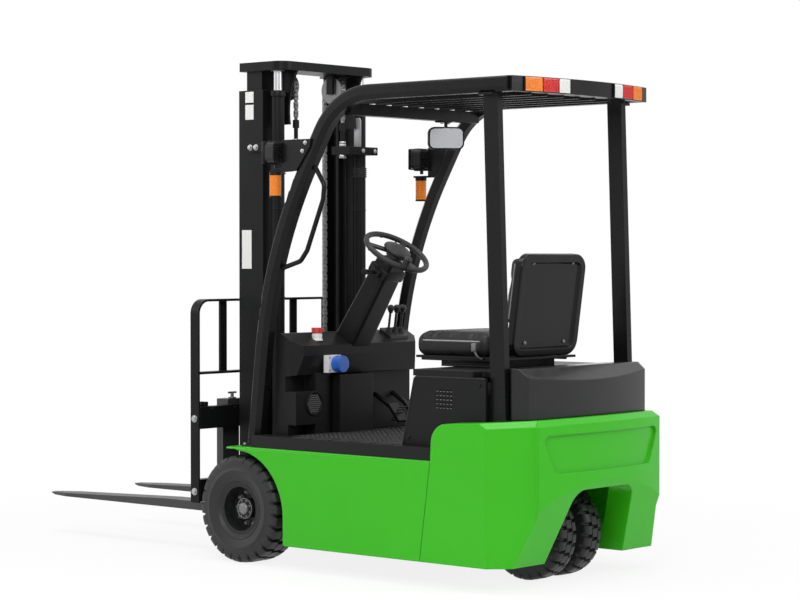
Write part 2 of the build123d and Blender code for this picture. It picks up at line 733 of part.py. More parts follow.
def dash_cowl():
    """Dashboard: wall with a bevelled shelf, a console with a pocket and the column's pedestal."""
    rear = COWL_REAR_X - COWL_LIP
    back = COWL_FRONT_X - COWL_WALL
    wall = outline(
        (COWL_FRONT_X, DECK_Z),
        (COWL_FRONT_X, COWL_TOP_Z),
        (COWL_FRONT_X - COWL_BROW, COWL_TOP_Z),
        (rear, COWL_SHELF_Z),
        (rear, COWL_SHELF_Z - COWL_LIP_H),
        (COWL_REAR_X + CHAIN_T, COWL_SHELF_Z - COWL_KNEE_H + MAT_T),
        (back, COWL_SHELF_Z - COWL_KNEE_H),
        (back, DECK_Z),
    )
    body = slab_xz(wall, -COWL_HALF, COWL_HALF)
    corner = outline(
        (rear - CUT, COWL_HALF + CUT),
        (rear + COWL_CORNER, COWL_HALF + CUT),
        (rear - CUT, COWL_HALF - COWL_CORNER),
    )
    bevel = slab_xy(corner, DECK_Z, COWL_TOP_Z)
    body = body - bevel - mirrored(bevel)
    depth = back + MAT_T
    console = block(COWL_REAR_X, depth, CONSOLE_INNER_Y, COWL_HALF, DECK_Z, CONSOLE_TOP_Z)
    kick = block(
        COWL_REAR_X - CUT,
        COWL_REAR_X + CONSOLE_KICK,
        CONSOLE_INNER_Y + CONSOLE_TOWER_W,
        COWL_HALF + CUT,
        DECK_Z - CUT,
        DECK_Z + CONSOLE_KICK,
    )
    tower = block(
        COWL_REAR_X,
        depth,
        CONSOLE_INNER_Y,
        CONSOLE_INNER_Y + CONSOLE_TOWER_W,
        DECK_Z,
        COWL_SHELF_Z - COWL_KNEE_H + CHAIN_T,
    )
    pedestal = block(PEDESTAL_X, depth, *PEDESTAL_Y, DECK_Z, PEDESTAL_TOP_Z)
    return body + (console - kick) + tower + pedestal - steering_column()


def shelf_z(x):
    """Height of the dashboard's sloping shelf at a place along the truck."""
    front = COWL_FRONT_X - COWL_BROW
    rear = COWL_REAR_X - COWL_LIP
    return COWL_TOP_Z - (COWL_TOP_Z - COWL_SHELF_Z) * (front - x) / (front - rear)


def column_axis():
    """Placement whose Z runs up the steering column from its foot."""
    return Pos(*COLUMN_FOOT) * Rot(0, -COLUMN_LEAN, 0)


def steering_column():
    """Tapered column housing, its foot cut level in the pedestal and behind the front skin."""
    low = Plane.XY.offset(-COLUMN_SUNK) * RectangleRounded(COLUMN_D * 1.35, COLUMN_W * 1.25, COLUMN_R)
    high = Plane.XY.offset(COLUMN_LENGTH) * RectangleRounded(COLUMN_D, COLUMN_W, COLUMN_R)
    housing = column_axis() * loft([low, high])
    below = block(2 * REAR_X, -REAR_X, -HALF_WIDTH, HALF_WIDTH, -COWL_TOP_Z, DECK_Z + COWL_WALL)
    ahead = block(COWL_FRONT_X - COWL_SKIN, -REAR_X, -HALF_WIDTH, HALF_WIDTH, -COWL_TOP_Z, 2 * COWL_TOP_Z)
    return housing - below - ahead


def steering_wheel():
    """Three-spoke wheel with a spinner knob, on the column's shaft."""
    ring_r = STEERING_R - STEERING_GRIP_R
    hub_h = 2.6 * STEERING_GRIP_R
    wheel = Torus(ring_r, STEERING_GRIP_R) + Pos(0, 0, -hub_h / 4) * Cylinder(STEERING_HUB_R, hub_h)
    shaft_top = -hub_h / 2
    shaft_length = WHEEL_RISE + shaft_top - RUN_GAP
    wheel = wheel + Pos(0, 0, shaft_top - shaft_length / 2) * Cylinder(STEERING_SHAFT_R, shaft_length)
    for index in range(3):
        spoke = Box(ring_r, 2.4 * STEERING_GRIP_R, 0.8 * STEERING_GRIP_R)
        spoke = Pos(ring_r / 2, 0, -STEERING_GRIP_R / 3) * spoke
        wheel = wheel + Rot(0, 0, 180 + 120 * index) * spoke
    knob = Pos(ring_r, 0, STEERING_GRIP_R / 2 + SPINNER_H / 2) * Cylinder(SPINNER_R, SPINNER_H)
    wheel = wheel + Rot(0, 0, 150) * knob
    return column_axis() * Pos(0, 0, COLUMN_LENGTH + WHEEL_RISE) * wheel


def charge_socket():
    """Socket plate on the shelf's rear edge and its round cap."""
    face_x = COWL_REAR_X - COWL_LIP
    front_x = face_x - SOCKET_D
    z = COWL_SHELF_Z - COWL_LIP_H
    inner = CONSOLE_INNER_Y - SOCKET_D
    plate = block(front_x, face_x, inner, inner + SOCKET_W, z - SOCKET_H, z)
    cap = drum_x(CONSOLE_INNER_Y, z - SOCKET_H / 2, SOCKET_CAP_R, front_x - SOCKET_CAP_D, front_x)
    return plate, cap


def emergency_stop():
    """Mushroom push button on the shelf."""
    x0, x1 = STOP_X - STOP_FOOT, STOP_X + STOP_FOOT
    y = CONSOLE_INNER_Y + SPINNER_H
    base = outline((x0, shelf_z(x0)), (x1, shelf_z(x1)), (x1, COWL_TOP_Z), (x0, COWL_TOP_Z))
    foot = slab_xz(base, y - STOP_FOOT, y + STOP_FOOT)
    return foot + drum_z(STOP_X, y, STOP_R, COWL_TOP_Z, COWL_TOP_Z + STOP_H)


def control_levers():
    """Hydraulic levers that stand on the right of the dashboard."""
    rear, front = LEVER_X
    rise = CHAIN_T
    face = outline(
        (rear, shelf_z(rear)),
        (front, shelf_z(front)),
        (front, shelf_z(front) + rise),
        (rear, shelf_z(rear) + rise),
    )
    outer = -COWL_HALF + COWL_CORNER + LEVER_PITCH / 2
    stand = slab_xz(face, outer, outer + 3 * LEVER_PITCH)
    middle = (front + rear) / 2
    top_x = middle - LEVER_BALL_R
    for index in range(3):
        y = outer + (index + 0.5) * LEVER_PITCH
        foot = (middle, y, shelf_z(middle) + rise / 2)
        stand = stand + bar_along(foot, (top_x, y, LEVER_TOP_Z), LEVER_BALL_R / 3)
        stand = stand + Pos(top_x, y, LEVER_TOP_Z) * Sphere(LEVER_BALL_R)
    return stand


def pedals():
    """Accelerator and brake pedals with their arms, hung under the shelf on the right."""
    pair = []
    wall_x = COWL_FRONT_X - COWL_WALL
    inner = -PEDESTAL_Y[1]
    for y, width in ((inner, 0.62 * PEDAL_L), (inner - 1.25 * PEDAL_L, 0.83 * PEDAL_L)):
        pad = Pos(PEDAL_X, y, PEDAL_Z) * Rot(0, PEDAL_LEAN, 0) * Box(CHAIN_T, width, PEDAL_L)
        arm = bar_along((PEDAL_X, y, PEDAL_Z), (wall_x, y, PEDAL_Z + 0.8 * PEDAL_L), GRAB_R)
        wall = block(wall_x, 0, y - PEDAL_L, y + PEDAL_L, DECK_Z, COWL_SHELF_Z)
        pair.append(pad + arm - wall)
    return Compound(children=pair)


# Overhead guard


def guard_side():
    """Left front leg and roof rail, one bent tube of bevelled section."""
    half = RAIL_W / 2
    deep = RAIL_H / 2
    section = outline(
        (half, -deep),
        (half, deep - RAIL_BEVEL),
        (half - RAIL_BEVEL, deep),
        (-half, deep),
        (-half, -deep + RAIL_BEVEL),
        (-half + RAIL_BEVEL, -deep),
    )
    section = rounded(section, RAIL_ROUND, (half, -deep))
    path = FilletPolyline(
        (LEG_FOOT_X, RAIL_Y, PANEL_TOP_Z - RAIL_BEVEL),
        (LEG_KNEE[0], RAIL_Y, LEG_KNEE[1]),
        (RAIL_KNEE_X, RAIL_Y, RAIL_Z),
        (RAIL_REAR_X, RAIL_Y, RAIL_Z),
        radius=(LEG_KNEE_R, RAIL_KNEE_R),
    )
    tube = sweep(Plane(origin=path @ 0, x_dir=(0, 1, 0), z_dir=path % 0) * section, path=path)
    return tube - block(REAR_X, -REAR_X, 0, 2 * RAIL_Y, 0, PANEL_TOP_Z)


def guard_post():
    """Left rear post, from the counterweight to a plate under the roof rail."""
    half = POST_D / 2
    top_x = POST_FOOT_X + POST_LEAN
    top_z = RAIL_BOTTOM_Z - POST_CAP_T
    face = outline(
        (POST_FOOT_X - half, weight_top_z(POST_FOOT_X - half)),
        (POST_FOOT_X + half, weight_top_z(POST_FOOT_X + half)),
        (top_x + half, top_z),
        (top_x - half, top_z),
    )
    inner = POST_LINE_Y - POST_W / 2
    post = slab_xz(face, inner, inner + POST_W)
    return post + block(top_x - half, top_x + half, inner, RAIL_Y + RAIL_BEVEL, top_z, RAIL_BOTTOM_Z)


def rear_beam(height):
    """Bowed beam across the back of the roof, as high as given."""
    plan = bowed_plan(RAIL_REAR_X, BEAM_HALF, BEAM_MID_X + BEAM_BOW, BEAM_MID_X)
    return slab_xy(plan, RAIL_Z - height / 2, RAIL_Z + height / 2)


def guard_beams():
    """Cross beams at the front bend and at the back of the roof."""
    half = RAIL_Y - RAIL_W / 2
    front = block(
        FRONT_BEAM_X - FRONT_BEAM_HALF,
        FRONT_BEAM_X + FRONT_BEAM_HALF,
        -half,
        half,
        FRONT_BEAM_TOP_Z - 2 * FRONT_BEAM_HALF,
        FRONT_BEAM_TOP_Z,
    )
    return Compound(children=[front, rear_beam(BEAM_H)])


def guard_bars():
    """Flat roof bars on edge, from the front beam to the rear beam."""
    front_x = FRONT_BEAM_X + FRONT_BEAM_HALF
    bars = []
    for index in range(ROOF_BARS):
        y = (index - (ROOF_BARS - 1) / 2) * ROOF_BAR_PITCH
        bars.append(
            block(RAIL_REAR_X, front_x, y - ROOF_BAR_T / 2, y + ROOF_BAR_T / 2, FRONT_BEAM_TOP_Z, RAIL_Z)
        )
    return Compound(children=bars)


def tail_lamps():
    """Lens blocks at the left end of the rear beam: amber outermost, then red, then white."""
    band = Pos(-LAMP_D, 0, 0) * rear_beam(LAMP_H) - rear_beam(LAMP_H)
    lenses = []
    y = LAMP_OUTER_Y
    for length in (AMBER_L, RED_L, WHITE_L):
        lenses.append(band & block(2 * REAR_X, 0, y - length, y, 0, 2 * RAIL_Z))
        y = y - length
    return lenses


def headlamp():
    """Left work lamp with a finned back, its bracket on the front leg and the amber signal below."""
    outer = RAIL_Y + RAIL_W / 2
    plate_y = outer + HEADLAMP_PLATE_T
    lamp_y = outer + SOCKET_D / 14
    back_x = HEADLAMP_X - HEADLAMP_D / 2
    low = HEADLAMP_Z - HEADLAMP_H / 2
    tab_z = SIGNAL_Z + SIGNAL_H / 2
    front_x = back_x - HEADLAMP_LENS_T - SEAM_GAP
    reach_x = front_x - 82
    plate = outline(
        (front_x, tab_z),
        (front_x - 44, tab_z),
        (reach_x, tab_z + SEAM_GAP),
        (reach_x - 75, low + 61),
        (reach_x - 85, low + 95),
        (front_x, low + 95),
    )
    holder = slab_xz(plate, outer, plate_y)
    holder = holder + block(
        front_x - SEAM_GAP,
        HEADLAMP_X + 20,
        outer - 28,
        plate_y,
        low - HEADLAMP_PLATE_T,
        low,
    )
    holder = holder + block(
        front_x - SEAM_GAP, SIGNAL_X + SIGNAL_R, outer - 22, plate_y, tab_z, tab_z + HEADLAMP_PLATE_T
    )
    housing = block(
        back_x, back_x + HEADLAMP_D, lamp_y - HEADLAMP_W / 2, lamp_y + HEADLAMP_W / 2, low, low + HEADLAMP_H
    )
    housing = fillet(housing.edges().filter_by(Axis.X), HEADLAMP_H / 4)
    pitch = HEADLAMP_W / (HEADLAMP_FINS + 1)
    for index in range(HEADLAMP_FINS):
        y = lamp_y + (index - (HEADLAMP_FINS - 1) / 2) * pitch
        housing = housing - block(
            back_x - CUT,
            HEADLAMP_X - CUT,
            y - pitch / 4,
            y + pitch / 4,
            low + HEADLAMP_PLATE_T,
            low + 2 * HEADLAMP_H,
        )
    lens = block(
        back_x + HEADLAMP_D,
        back_x + HEADLAMP_D + HEADLAMP_LENS_T,
        lamp_y - HEADLAMP_W / 2 + HEADLAMP_PLATE_T,
        lamp_y + HEADLAMP_W / 2 - HEADLAMP_PLATE_T,
        low + HEADLAMP_PLATE_T,
        low + HEADLAMP_H - HEADLAMP_PLATE_T,
    )
    signal = drum_z(SIGNAL_X, lamp_y, SIGNAL_R, tab_z - SIGNAL_H, tab_z)
    return holder, housing, lens, signal


def grab_handle():
    """Bent tube behind the left front leg."""
    y = RAIL_Y - RAIL_W / 4
    path = FilletPolyline(
        (-150.0, y, 1238.0),
        (-280.0, y, 1275.0),
        (-318.0, y, 1320.0),
        (-408.0, y, 1530.0),
        (-415.0, y, 1590.0),
        (-340.0, y, 1700.0),
        radius=GRAB_BEND_R,
    )
    tube = sweep(Plane(origin=path @ 0, z_dir=path % 0) * Circle(GRAB_R), path=path)
    return (tube - guard_side()).solids().sort_by(SortBy.VOLUME)[-1]


def mirror_pieces():
    """Rear-view mirror hung from the front beam: shell with stalk, and glass."""
    shell = Box(MIRROR_T, MIRROR_W, MIRROR_H)
    shell = fillet(shell.edges().filter_by(Axis.X), MIRROR_R)
    pane = Box(SEAM_GAP, MIRROR_W - 2 * MIRROR_RIM, MIRROR_H - 2 * MIRROR_RIM)
    pane = fillet(pane.edges().filter_by(Axis.X), MIRROR_R - MIRROR_RIM)
    pane = Pos(-(MIRROR_T + SEAM_GAP) / 2, 0, 0) * pane
    place = Pos(MIRROR_X, MIRROR_Y, MIRROR_Z) * Rot(0, 0, -MIRROR_TURN)
    beam_z = FRONT_BEAM_TOP_Z - 2 * FRONT_BEAM_HALF
    stalk = drum_z(MIRROR_X, MIRROR_Y, MIRROR_T / 3, MIRROR_Z, beam_z)
    return place * shell + stalk, place * pane


# Battery, covers, hood and seat


def battery():
    """Traction battery, one plain block in the bay."""
    return block(
        BAY_REAR_X + 30, COVER_FOOT_X - 80, -BAY_HALF + 20, BAY_HALF - 20, DECK_Z, HOOD_Z - HOOD_T - 20
    )


def battery_cover():
    """Left side cover of the battery bay."""
    low = DECK_Z + MAT_T
    top = HOOD_Z - HOOD_T
    front_top = (COVER_FOOT_X - COVER_RAKE, top)
    step_x = COVER_REAR_X + COVER_STEP
    step_z = EAR_TOP_Z + SEAM_GAP
    face = outline(
        (COVER_FOOT_X, low),
        front_top,
        (COVER_REAR_X, top),
        (COVER_REAR_X, step_z),
        (step_x, step_z),
        (step_x, low),
    )
    return slab_xz(rounded(face, COVER_R, front_top), COVER_Y - COVER_T, COVER_Y)


def front_cover():
    """Front wall of the battery bay, under the seat's front edge."""
    top = HOOD_Z - HOOD_T
    face = outline(
        (COVER_FOOT_X, DECK_Z),
        (COVER_FOOT_X - COVER_RAKE, top),
        (COVER_FOOT_X - COVER_RAKE - COVER_T, top),
        (COVER_FOOT_X - COVER_T, DECK_Z),
    )
    return slab_xz(face, -COVER_Y + COVER_T, COVER_Y - COVER_T)


def rear_cover():
    """Faceted cover behind the seat, bowed at the back and narrowed between the rear posts."""
    front = BAY_REAR_X - 2 * CUT
    inner = BAY_HALF - 2 * CUT
    side_x = REAR_COVER_X + REAR_COVER_BOW
    side_y = REAR_COVER_HALF - 2 * FENDER_T
    edge = Polyline(
        (side_x, side_y),
        (REAR_COVER_POST_X, REAR_COVER_HALF),
        (REAR_COVER_POST_X, inner),
        (front, inner),
        (front, -inner),
        (REAR_COVER_POST_X, -inner),
        (REAR_COVER_POST_X, -REAR_COVER_HALF),
        (side_x, -side_y),
    )
    plan = make_face(edge + ThreePointArc((side_x, -side_y), (REAR_COVER_X, 0), (side_x, side_y)))
    profile = outline(
        (front, weight_top_z(front)),
        (front, REAR_COVER_Z),
        (REAR_COVER_X + 1.4 * REAR_COVER_FACET, REAR_COVER_Z),
        (REAR_COVER_X, REAR_COVER_Z - REAR_COVER_FACET),
        (REAR_COVER_X, weight_top_z(REAR_COVER_X)),
    )
    shell = slab_xy(plan, 0, 2 * REAR_COVER_Z) & slab_xz(profile, -HALF_WIDTH, HALF_WIDTH)
    x, z = hood_axis()
    start = HINGE_Y + HINGE_HALF + RUN_GAP
    knuckle = drum_y(x, z, HINGE_R, start, start + HINGE_HALF)
    lug = block(front, x, start, start + HINGE_HALF, z - HINGE_R, z + HINGE_R)
    return shell + knuckle + lug + mirrored(knuckle + lug)


def hood_axis():
    """Hinge line of the battery hood, across the truck."""
    return HOOD_REAR_X - HINGE_R, HOOD_Z + HINGE_RISE


def hood_lid():
    """Battery hood that carries the seat, notched round the rear posts and hinged on the rear cover."""
    front = COVER_FOOT_X - COVER_RAKE + COVER_T
    lid = block(HOOD_REAR_X, front, -COVER_Y, COVER_Y, HOOD_Z - HOOD_T + RUN_GAP, HOOD_Z)
    post_side = POST_LINE_Y - POST_W / 2 - HOOD_POST_GAP
    notch = block(
        HOOD_REAR_X - CUT, HOOD_REAR_X + HOOD_NOTCH, post_side, COVER_Y + CUT, HOOD_Z - HOOD_T, HOOD_Z + CUT
    )
    lid = lid - notch - mirrored(notch)
    lid = fillet(lid.edges().filter_by(Axis.Z), HOOD_CORNER_R)
    x, z = hood_axis()
    knuckle = drum_y(x, z, HINGE_R, HINGE_Y - HINGE_HALF, HINGE_Y + HINGE_HALF)
    leaf_z = HOOD_Z + HINGE_LEAF_T
    leaf = block(x, x + 8 * HINGE_R, HINGE_Y - HINGE_HALF, HINGE_Y + HINGE_HALF, HOOD_Z, leaf_z)
    return lid + knuckle + leaf + mirrored(knuckle + leaf)


def seat_base():
    """Seat rails and suspension case."""
    z = CUSHION_Z - 10
    case = block(SEAT_REAR_X + 60, SEAT_FRONT_X - 130, -SEAT_HALF + 50, SEAT_HALF - 50, HOOD_Z, z)
    pan = block(SEAT_REAR_X - BACK_SHELL_T, SEAT_FRONT_X - 20, -SEAT_HALF + 20, SEAT_HALF - 20, z, CUSHION_Z)
    return case + pan


def seat_cushion():
    """Seat cushion."""
    rear = SEAT_REAR_X + BACK_PAD_T + FENDER_T
    pad = block(rear, SEAT_FRONT_X, -SEAT_HALF, SEAT_HALF, CUSHION_Z, CUSHION_Z + CUSHION_T)
    return fillet(pad.edges().filter_by(Axis.Z), CUSHION_R)


def leaning(shape):
    """Lean a piece of the backrest about the seat's rear edge."""
    return Pos(SEAT_REAR_X, 0, CUSHION_Z) * Rot(0, -BACK_LEAN, 0) * shape


def seat_back():
    """Backrest pad and the moulded shell behind it."""
    height = BACK_TOP_Z - CUSHION_Z
    inset = 12.0
    pad = block(RUN_GAP, BACK_PAD_T, -BACK_W / 2 + inset, BACK_W / 2 - inset, BACK_PAD_FOOT, height - inset)
    pad = fillet(pad.edges().filter_by(Axis.X), BACK_R - inset / 3)
    foot = 4.1
    shell = block(-BACK_SHELL_T, 0, -BACK_W / 2, BACK_W / 2, foot, height)
    shell = fillet(shell.edges().filter_by(Axis.X), BACK_R)
    return leaning(pad), leaning(shell)


# Mast


def channel(x0, x1, web_y, web_t, flange_t, flange_w, z0, z1):
    """Left mast channel, its web outside and its flanges towards the middle."""
    section = outline(
        (x0, web_y),
        (x1, web_y),
        (x1, web_y - flange_w),
        (x1 - flange_t, web_y - flange_w),
        (x1 - flange_t, web_y - web_t),
        (x0 + flange_t, web_y - web_t),
        (x0 + flange_t, web_y - flange_w),
        (x0, web_y - flange_w),
    )
    return slab_xy(section, z0, z1)


def cylinder_clamp():
    """Plate on the left channel that holds the lift barrel, with the chain's anchor bolt and clevis on it."""
    rear = LIFT_X - LIFT_BARREL_R - CHEEK_T
    low = CLAMP_TOP_Z - CLAMP_H
    outer = MAST_HALF + CLAMP_ARM_T
    plate = block(rear, MAST_REAR_X, CHAIN_Y - CHAIN_W / 2 - SEAM_GAP, outer, low, CLAMP_TOP_Z)
    plate = plate - drum_z(LIFT_X, LIFT_Y, LIFT_BARREL_R + RUN_GAP, low - CUT, CLAMP_TOP_Z + CUT)
    arm = block(rear, CLAMP_ARM_X, MAST_HALF, outer, low, CLAMP_TOP_Z)
    x = SHEAVE_X - SHEAVE_R
    bolt = drum_z(x, CHAIN_Y, ANCHOR_BOLT_R, CLAMP_TOP_Z - CUT, CHAIN_ANCHOR_Z - CLEVIS_H)
    half_w = CHAIN_W / 2
    clevis = block(
        x - CHAIN_T / 2,
        x + CHAIN_T / 2,
        CHAIN_Y - half_w,
        CHAIN_Y + half_w,
        CHAIN_ANCHOR_Z - CLEVIS_H,
        CHAIN_ANCHOR_Z,
    )
    return plate + arm + bolt + clevis


def outer_mast():
    """Fixed channels, their crossmembers, axle trunnions, cylinder clamps, cylinder feet and tilt lugs."""
    rail = channel(
        MAST_REAR_X,
        MAST_FRONT_X,
        MAST_HALF,
        OUTER_WEB,
        OUTER_FLANGE,
        OUTER_FLANGE_W,
        OUTER_BOTTOM_Z,
        OUTER_TOP_Z,
    )
    trunnion_face = outline(
        (0, AXLE_Z - TRUNNION_R),
        (MAST_REAR_X, AXLE_Z - 1.45 * TRUNNION_R),
        (MAST_REAR_X, AXLE_Z + TRUNNION_R),
        (0, AXLE_Z + TRUNNION_R),
    )
    trunnion = slab_xz(trunnion_face, TRUNNION_INNER_Y, TRUNNION_OUTER_Y)
    trunnion = trunnion + drum_y(0, AXLE_Z, TRUNNION_R, TRUNNION_INNER_Y, TRUNNION_OUTER_Y)
    bore = drum_y(0, AXLE_Z, AXLE_TUBE_R + RUN_GAP, TRUNNION_INNER_Y - CUT, TRUNNION_OUTER_Y + CUT)
    foot = block(
        LIFT_X - LIFT_BARREL_R,
        MAST_REAR_X,
        LIFT_Y - LIFT_BARREL_R,
        MAST_HALF,
        LIFT_FOOT_Z - LIFT_FOOT_T,
        LIFT_FOOT_Z,
    )
    half = rail + (trunnion - bore) + foot + cylinder_clamp() + tilt_front_lugs()
    mast = half + mirrored(half)
    for z0, z1 in (LOWER_CROSS_Z, MIDDLE_CROSS_Z):
        mast = mast + block(CROSS_REAR_X, MAST_REAR_X, -MAST_HALF, MAST_HALF, z0, z1)
    return mast


def tilt_front_lugs():
    """Two ears and a pin that take the left tilt cylinder's rod eye, on the lower crossmember."""
    x, z = TILT_EYE
    inner = TILT_Y - TILT_EYE_HALF - TILT_LUG_PLAY - TILT_LUG_T
    outer = TILT_Y + TILT_EYE_HALF + TILT_LUG_PLAY
    reach = TILT_EYE_R + CUT
    foot_z = LOWER_CROSS_Z[1] - 3 * TILT_EYE_HALF
    ear = slab_xz(
        outline(
            (x, z - reach),
            (CROSS_REAR_X, foot_z),
            (CROSS_REAR_X, z + reach),
            (x, z + reach),
        ),
        0,
        TILT_LUG_T,
    )
    ear = ear + drum_y(x, z, reach, 0, TILT_LUG_T)
    pad_z = LOWER_CROSS_Z[1] - TILT_LUG_PLAY
    pad = block(CROSS_REAR_X, MAST_REAR_X, inner, outer + TILT_LUG_T, pad_z, z + reach)
    pin = drum_y(x, z, TILT_PIN_R, inner, outer + TILT_LUG_T)
    return Pos(0, inner, 0) * ear + Pos(0, outer, 0) * ear + pin + pad


def lift_barrels():
    """Lift cylinder barrels behind the channels."""
    barrel = drum_z(LIFT_X, LIFT_Y, LIFT_BARREL_R, LIFT_FOOT_Z, OUTER_TOP_Z - MAST_RUN)
    bore = drum_z(LIFT_X, LIFT_Y, LIFT_ROD_R + RUN_GAP, LIFT_FOOT_Z + LIFT_FOOT_T, OUTER_TOP_Z)
    return both(barrel - bore)


def lift_rods():
    """Chromed lift rods, from inside the barrels to the top beam."""
    low = OUTER_TOP_Z - LIFT_STROKE - LIFT_OVERLAP / 5
    return both(drum_z(LIFT_X, LIFT_Y, LIFT_ROD_R, low, TOP_BEAM_Z))


def sheave_bracket():
    """Plate and pin that carry the left chain wheel under the top beam."""
    face_y = CHAIN_Y - CHAIN_W / 2
    reach = SHEAVE_PIN_R + MIRROR_RIM
    cheek = block(
        SHEAVE_X - reach, SHEAVE_X + reach, face_y - 15, face_y - 5, SHEAVE_Z - reach, TOP_BEAM_Z
    )
    return cheek + drum_y(SHEAVE_X, SHEAVE_Z, SHEAVE_PIN_R, face_y - 15, face_y + CHAIN_W)


def beam_gusset():
    """Scalloped plate that hangs under the left side of the top beam."""
    rear = LIFT_X - LIFT_BARREL_R - TOP_BEAM_REACH
    low = TOP_BEAM_Z - GUSSET_H
    toe_x = rear + 2 * GUSSET_WAVE
    sides = Polyline((rear, TOP_BEAM_Z), (rear + GUSSET_D, TOP_BEAM_Z), (rear + GUSSET_D, low), (toe_x, low))
    middle = ((rear + toe_x) / 2 + GUSSET_WAVE, TOP_BEAM_Z - GUSSET_H / 2)
    face = make_face(sides + ThreePointArc((toe_x, low), middle, (rear, TOP_BEAM_Z)))
    return slab_xz(face, INNER_EDGE_Y + CUT, INNER_EDGE_Y + CUT + GUSSET_T)


def top_beam():
    """Broad plate across the top of the inner mast, with rounded rear corners and a notch for the chains."""
    rear = LIFT_X - LIFT_BARREL_R - TOP_BEAM_REACH
    front = MAST_FRONT_X - SEAM_GAP
    notch_x = SHEAVE_X + SPINNER_H
    notch_y = CHAIN_Y - SPINNER_H
    plan = outline(
        (rear, -MAST_HALF),
        (rear, MAST_HALF),
        (front, MAST_HALF),
        (front, INNER_EDGE_Y),
        (notch_x, notch_y),
        (notch_x, -notch_y),
        (front, -INNER_EDGE_Y),
        (front, -MAST_HALF),
    )
    plan = rounded(plan, TOP_BEAM_R, (rear, -MAST_HALF), (rear, MAST_HALF))
    return slab_xy(plan, TOP_BEAM_Z, TOP_BEAM_Z + TOP_BEAM_T)


def inner_mast():
    """Lifting channels with their rollers, lower crossmember, top beam, gussets and sheave brackets."""
    rail = channel(
        INNER_X0, INNER_X1, INNER_WEB_Y, INNER_WEB, INNER_FLANGE, INNER_FLANGE_W, INNER_BOTTOM_Z, TOP_BEAM_Z
    )
    face_y = INNER_WEB_Y - FENDER_T
    tail = block(
        MAST_MID_X - CHEEK_T,
        MAST_MID_X + CHEEK_T,
        INNER_WEB_Y - INNER_WEB,
        face_y,
        ROLLER_Z - CHEEK_T,
        INNER_BOTTOM_Z,
    )
    roller = drum_y(MAST_MID_X, ROLLER_Z, ROLLER_R, face_y, MAST_HALF - OUTER_WEB - 2 * RUN_GAP)
    half = rail + tail + roller + sheave_bracket() + beam_gusset()
    tie_y = INNER_EDGE_Y - 2 * CUT
    back = INNER_X0 - INNER_CROSS_T
    cross = block(back, INNER_X0, -tie_y, tie_y, *INNER_CROSS_Z)
    tie = block(back, INNER_X0 + INNER_FLANGE, tie_y - 10, INNER_EDGE_Y, *INNER_CROSS_Z)
    return half + mirrored(half) + cross + tie + mirrored(tie) + top_beam()


def chain_sheaves():
    """Chain wheels under the top beam."""
    half_w = CHAIN_W / 2
    wheel = drum_y(SHEAVE_X, SHEAVE_Z, SHEAVE_R - CHAIN_T / 2, CHAIN_Y - half_w, CHAIN_Y + half_w)
    bore = drum_y(SHEAVE_X, SHEAVE_Z, SHEAVE_PIN_R + RUN_GAP, CHAIN_Y - half_w - CUT, CHAIN_Y + half_w + CUT)
    return both(wheel - bore)


def chain_run(x, z0, z1):
    """One straight run of the left lift chain."""
    return block(x - CHAIN_T / 2, x + CHAIN_T / 2, CHAIN_Y - CHAIN_W / 2, CHAIN_Y + CHAIN_W / 2, z0, z1)


# Carriage


def carriage():
    """Fork bars on two side plates that run in the inner channels on rollers."""
    plate_y = CARRIAGE_PLATE_Y + CARRIAGE_PLATE_T
    half = block(
        MAST_MID_X - CARRIAGE_PLATE_REACH,
        FORK_BAR_X,
        CARRIAGE_PLATE_Y,
        plate_y,
        LOWER_BAR_Z,
        CARRIAGE_PLATE_TOP,
    )
    roller_y = INNER_WEB_Y - INNER_WEB - MAST_RUN
    for z in (LOWER_BAR_Z + 105, CARRIAGE_PLATE_TOP - 60):
        half = half + drum_y(MAST_MID_X, z, CARRIAGE_AXLE_R, plate_y, roller_y - CARRIAGE_ROLLER_W + CUT)
        half = half + drum_y(MAST_MID_X, z, CARRIAGE_ROLLER_R, roller_y - CARRIAGE_ROLLER_W, roller_y)
    tie_x = SHEAVE_X + SHEAVE_R - CHAIN_T / 2
    tie = block(tie_x, FORK_BAR_X, -CARRIAGE_PLATE_Y, CARRIAGE_PLATE_Y, *CARRIAGE_TIE_Z)
    body = half + mirrored(half) + tie
    for z in (UPPER_BAR_Z, LOWER_BAR_Z):
        body = body + block(FORK_BAR_X, FORK_FACE_X, -FORK_BAR_HALF, FORK_BAR_HALF, z, z + BAR_H)
    top = UPPER_BAR_Z + BAR_H
    for index in range(BAR_NOTCHES):
        y = (index - (BAR_NOTCHES - 1) / 2) * BAR_NOTCH_PITCH
        body = body - block(
            FORK_BAR_X - CUT,
            FORK_FACE_X + CUT,
            y - BAR_NOTCH_W / 2,
            y + BAR_NOTCH_W / 2,
            top - BAR_NOTCH_H,
            top + CUT,
        )
    return body


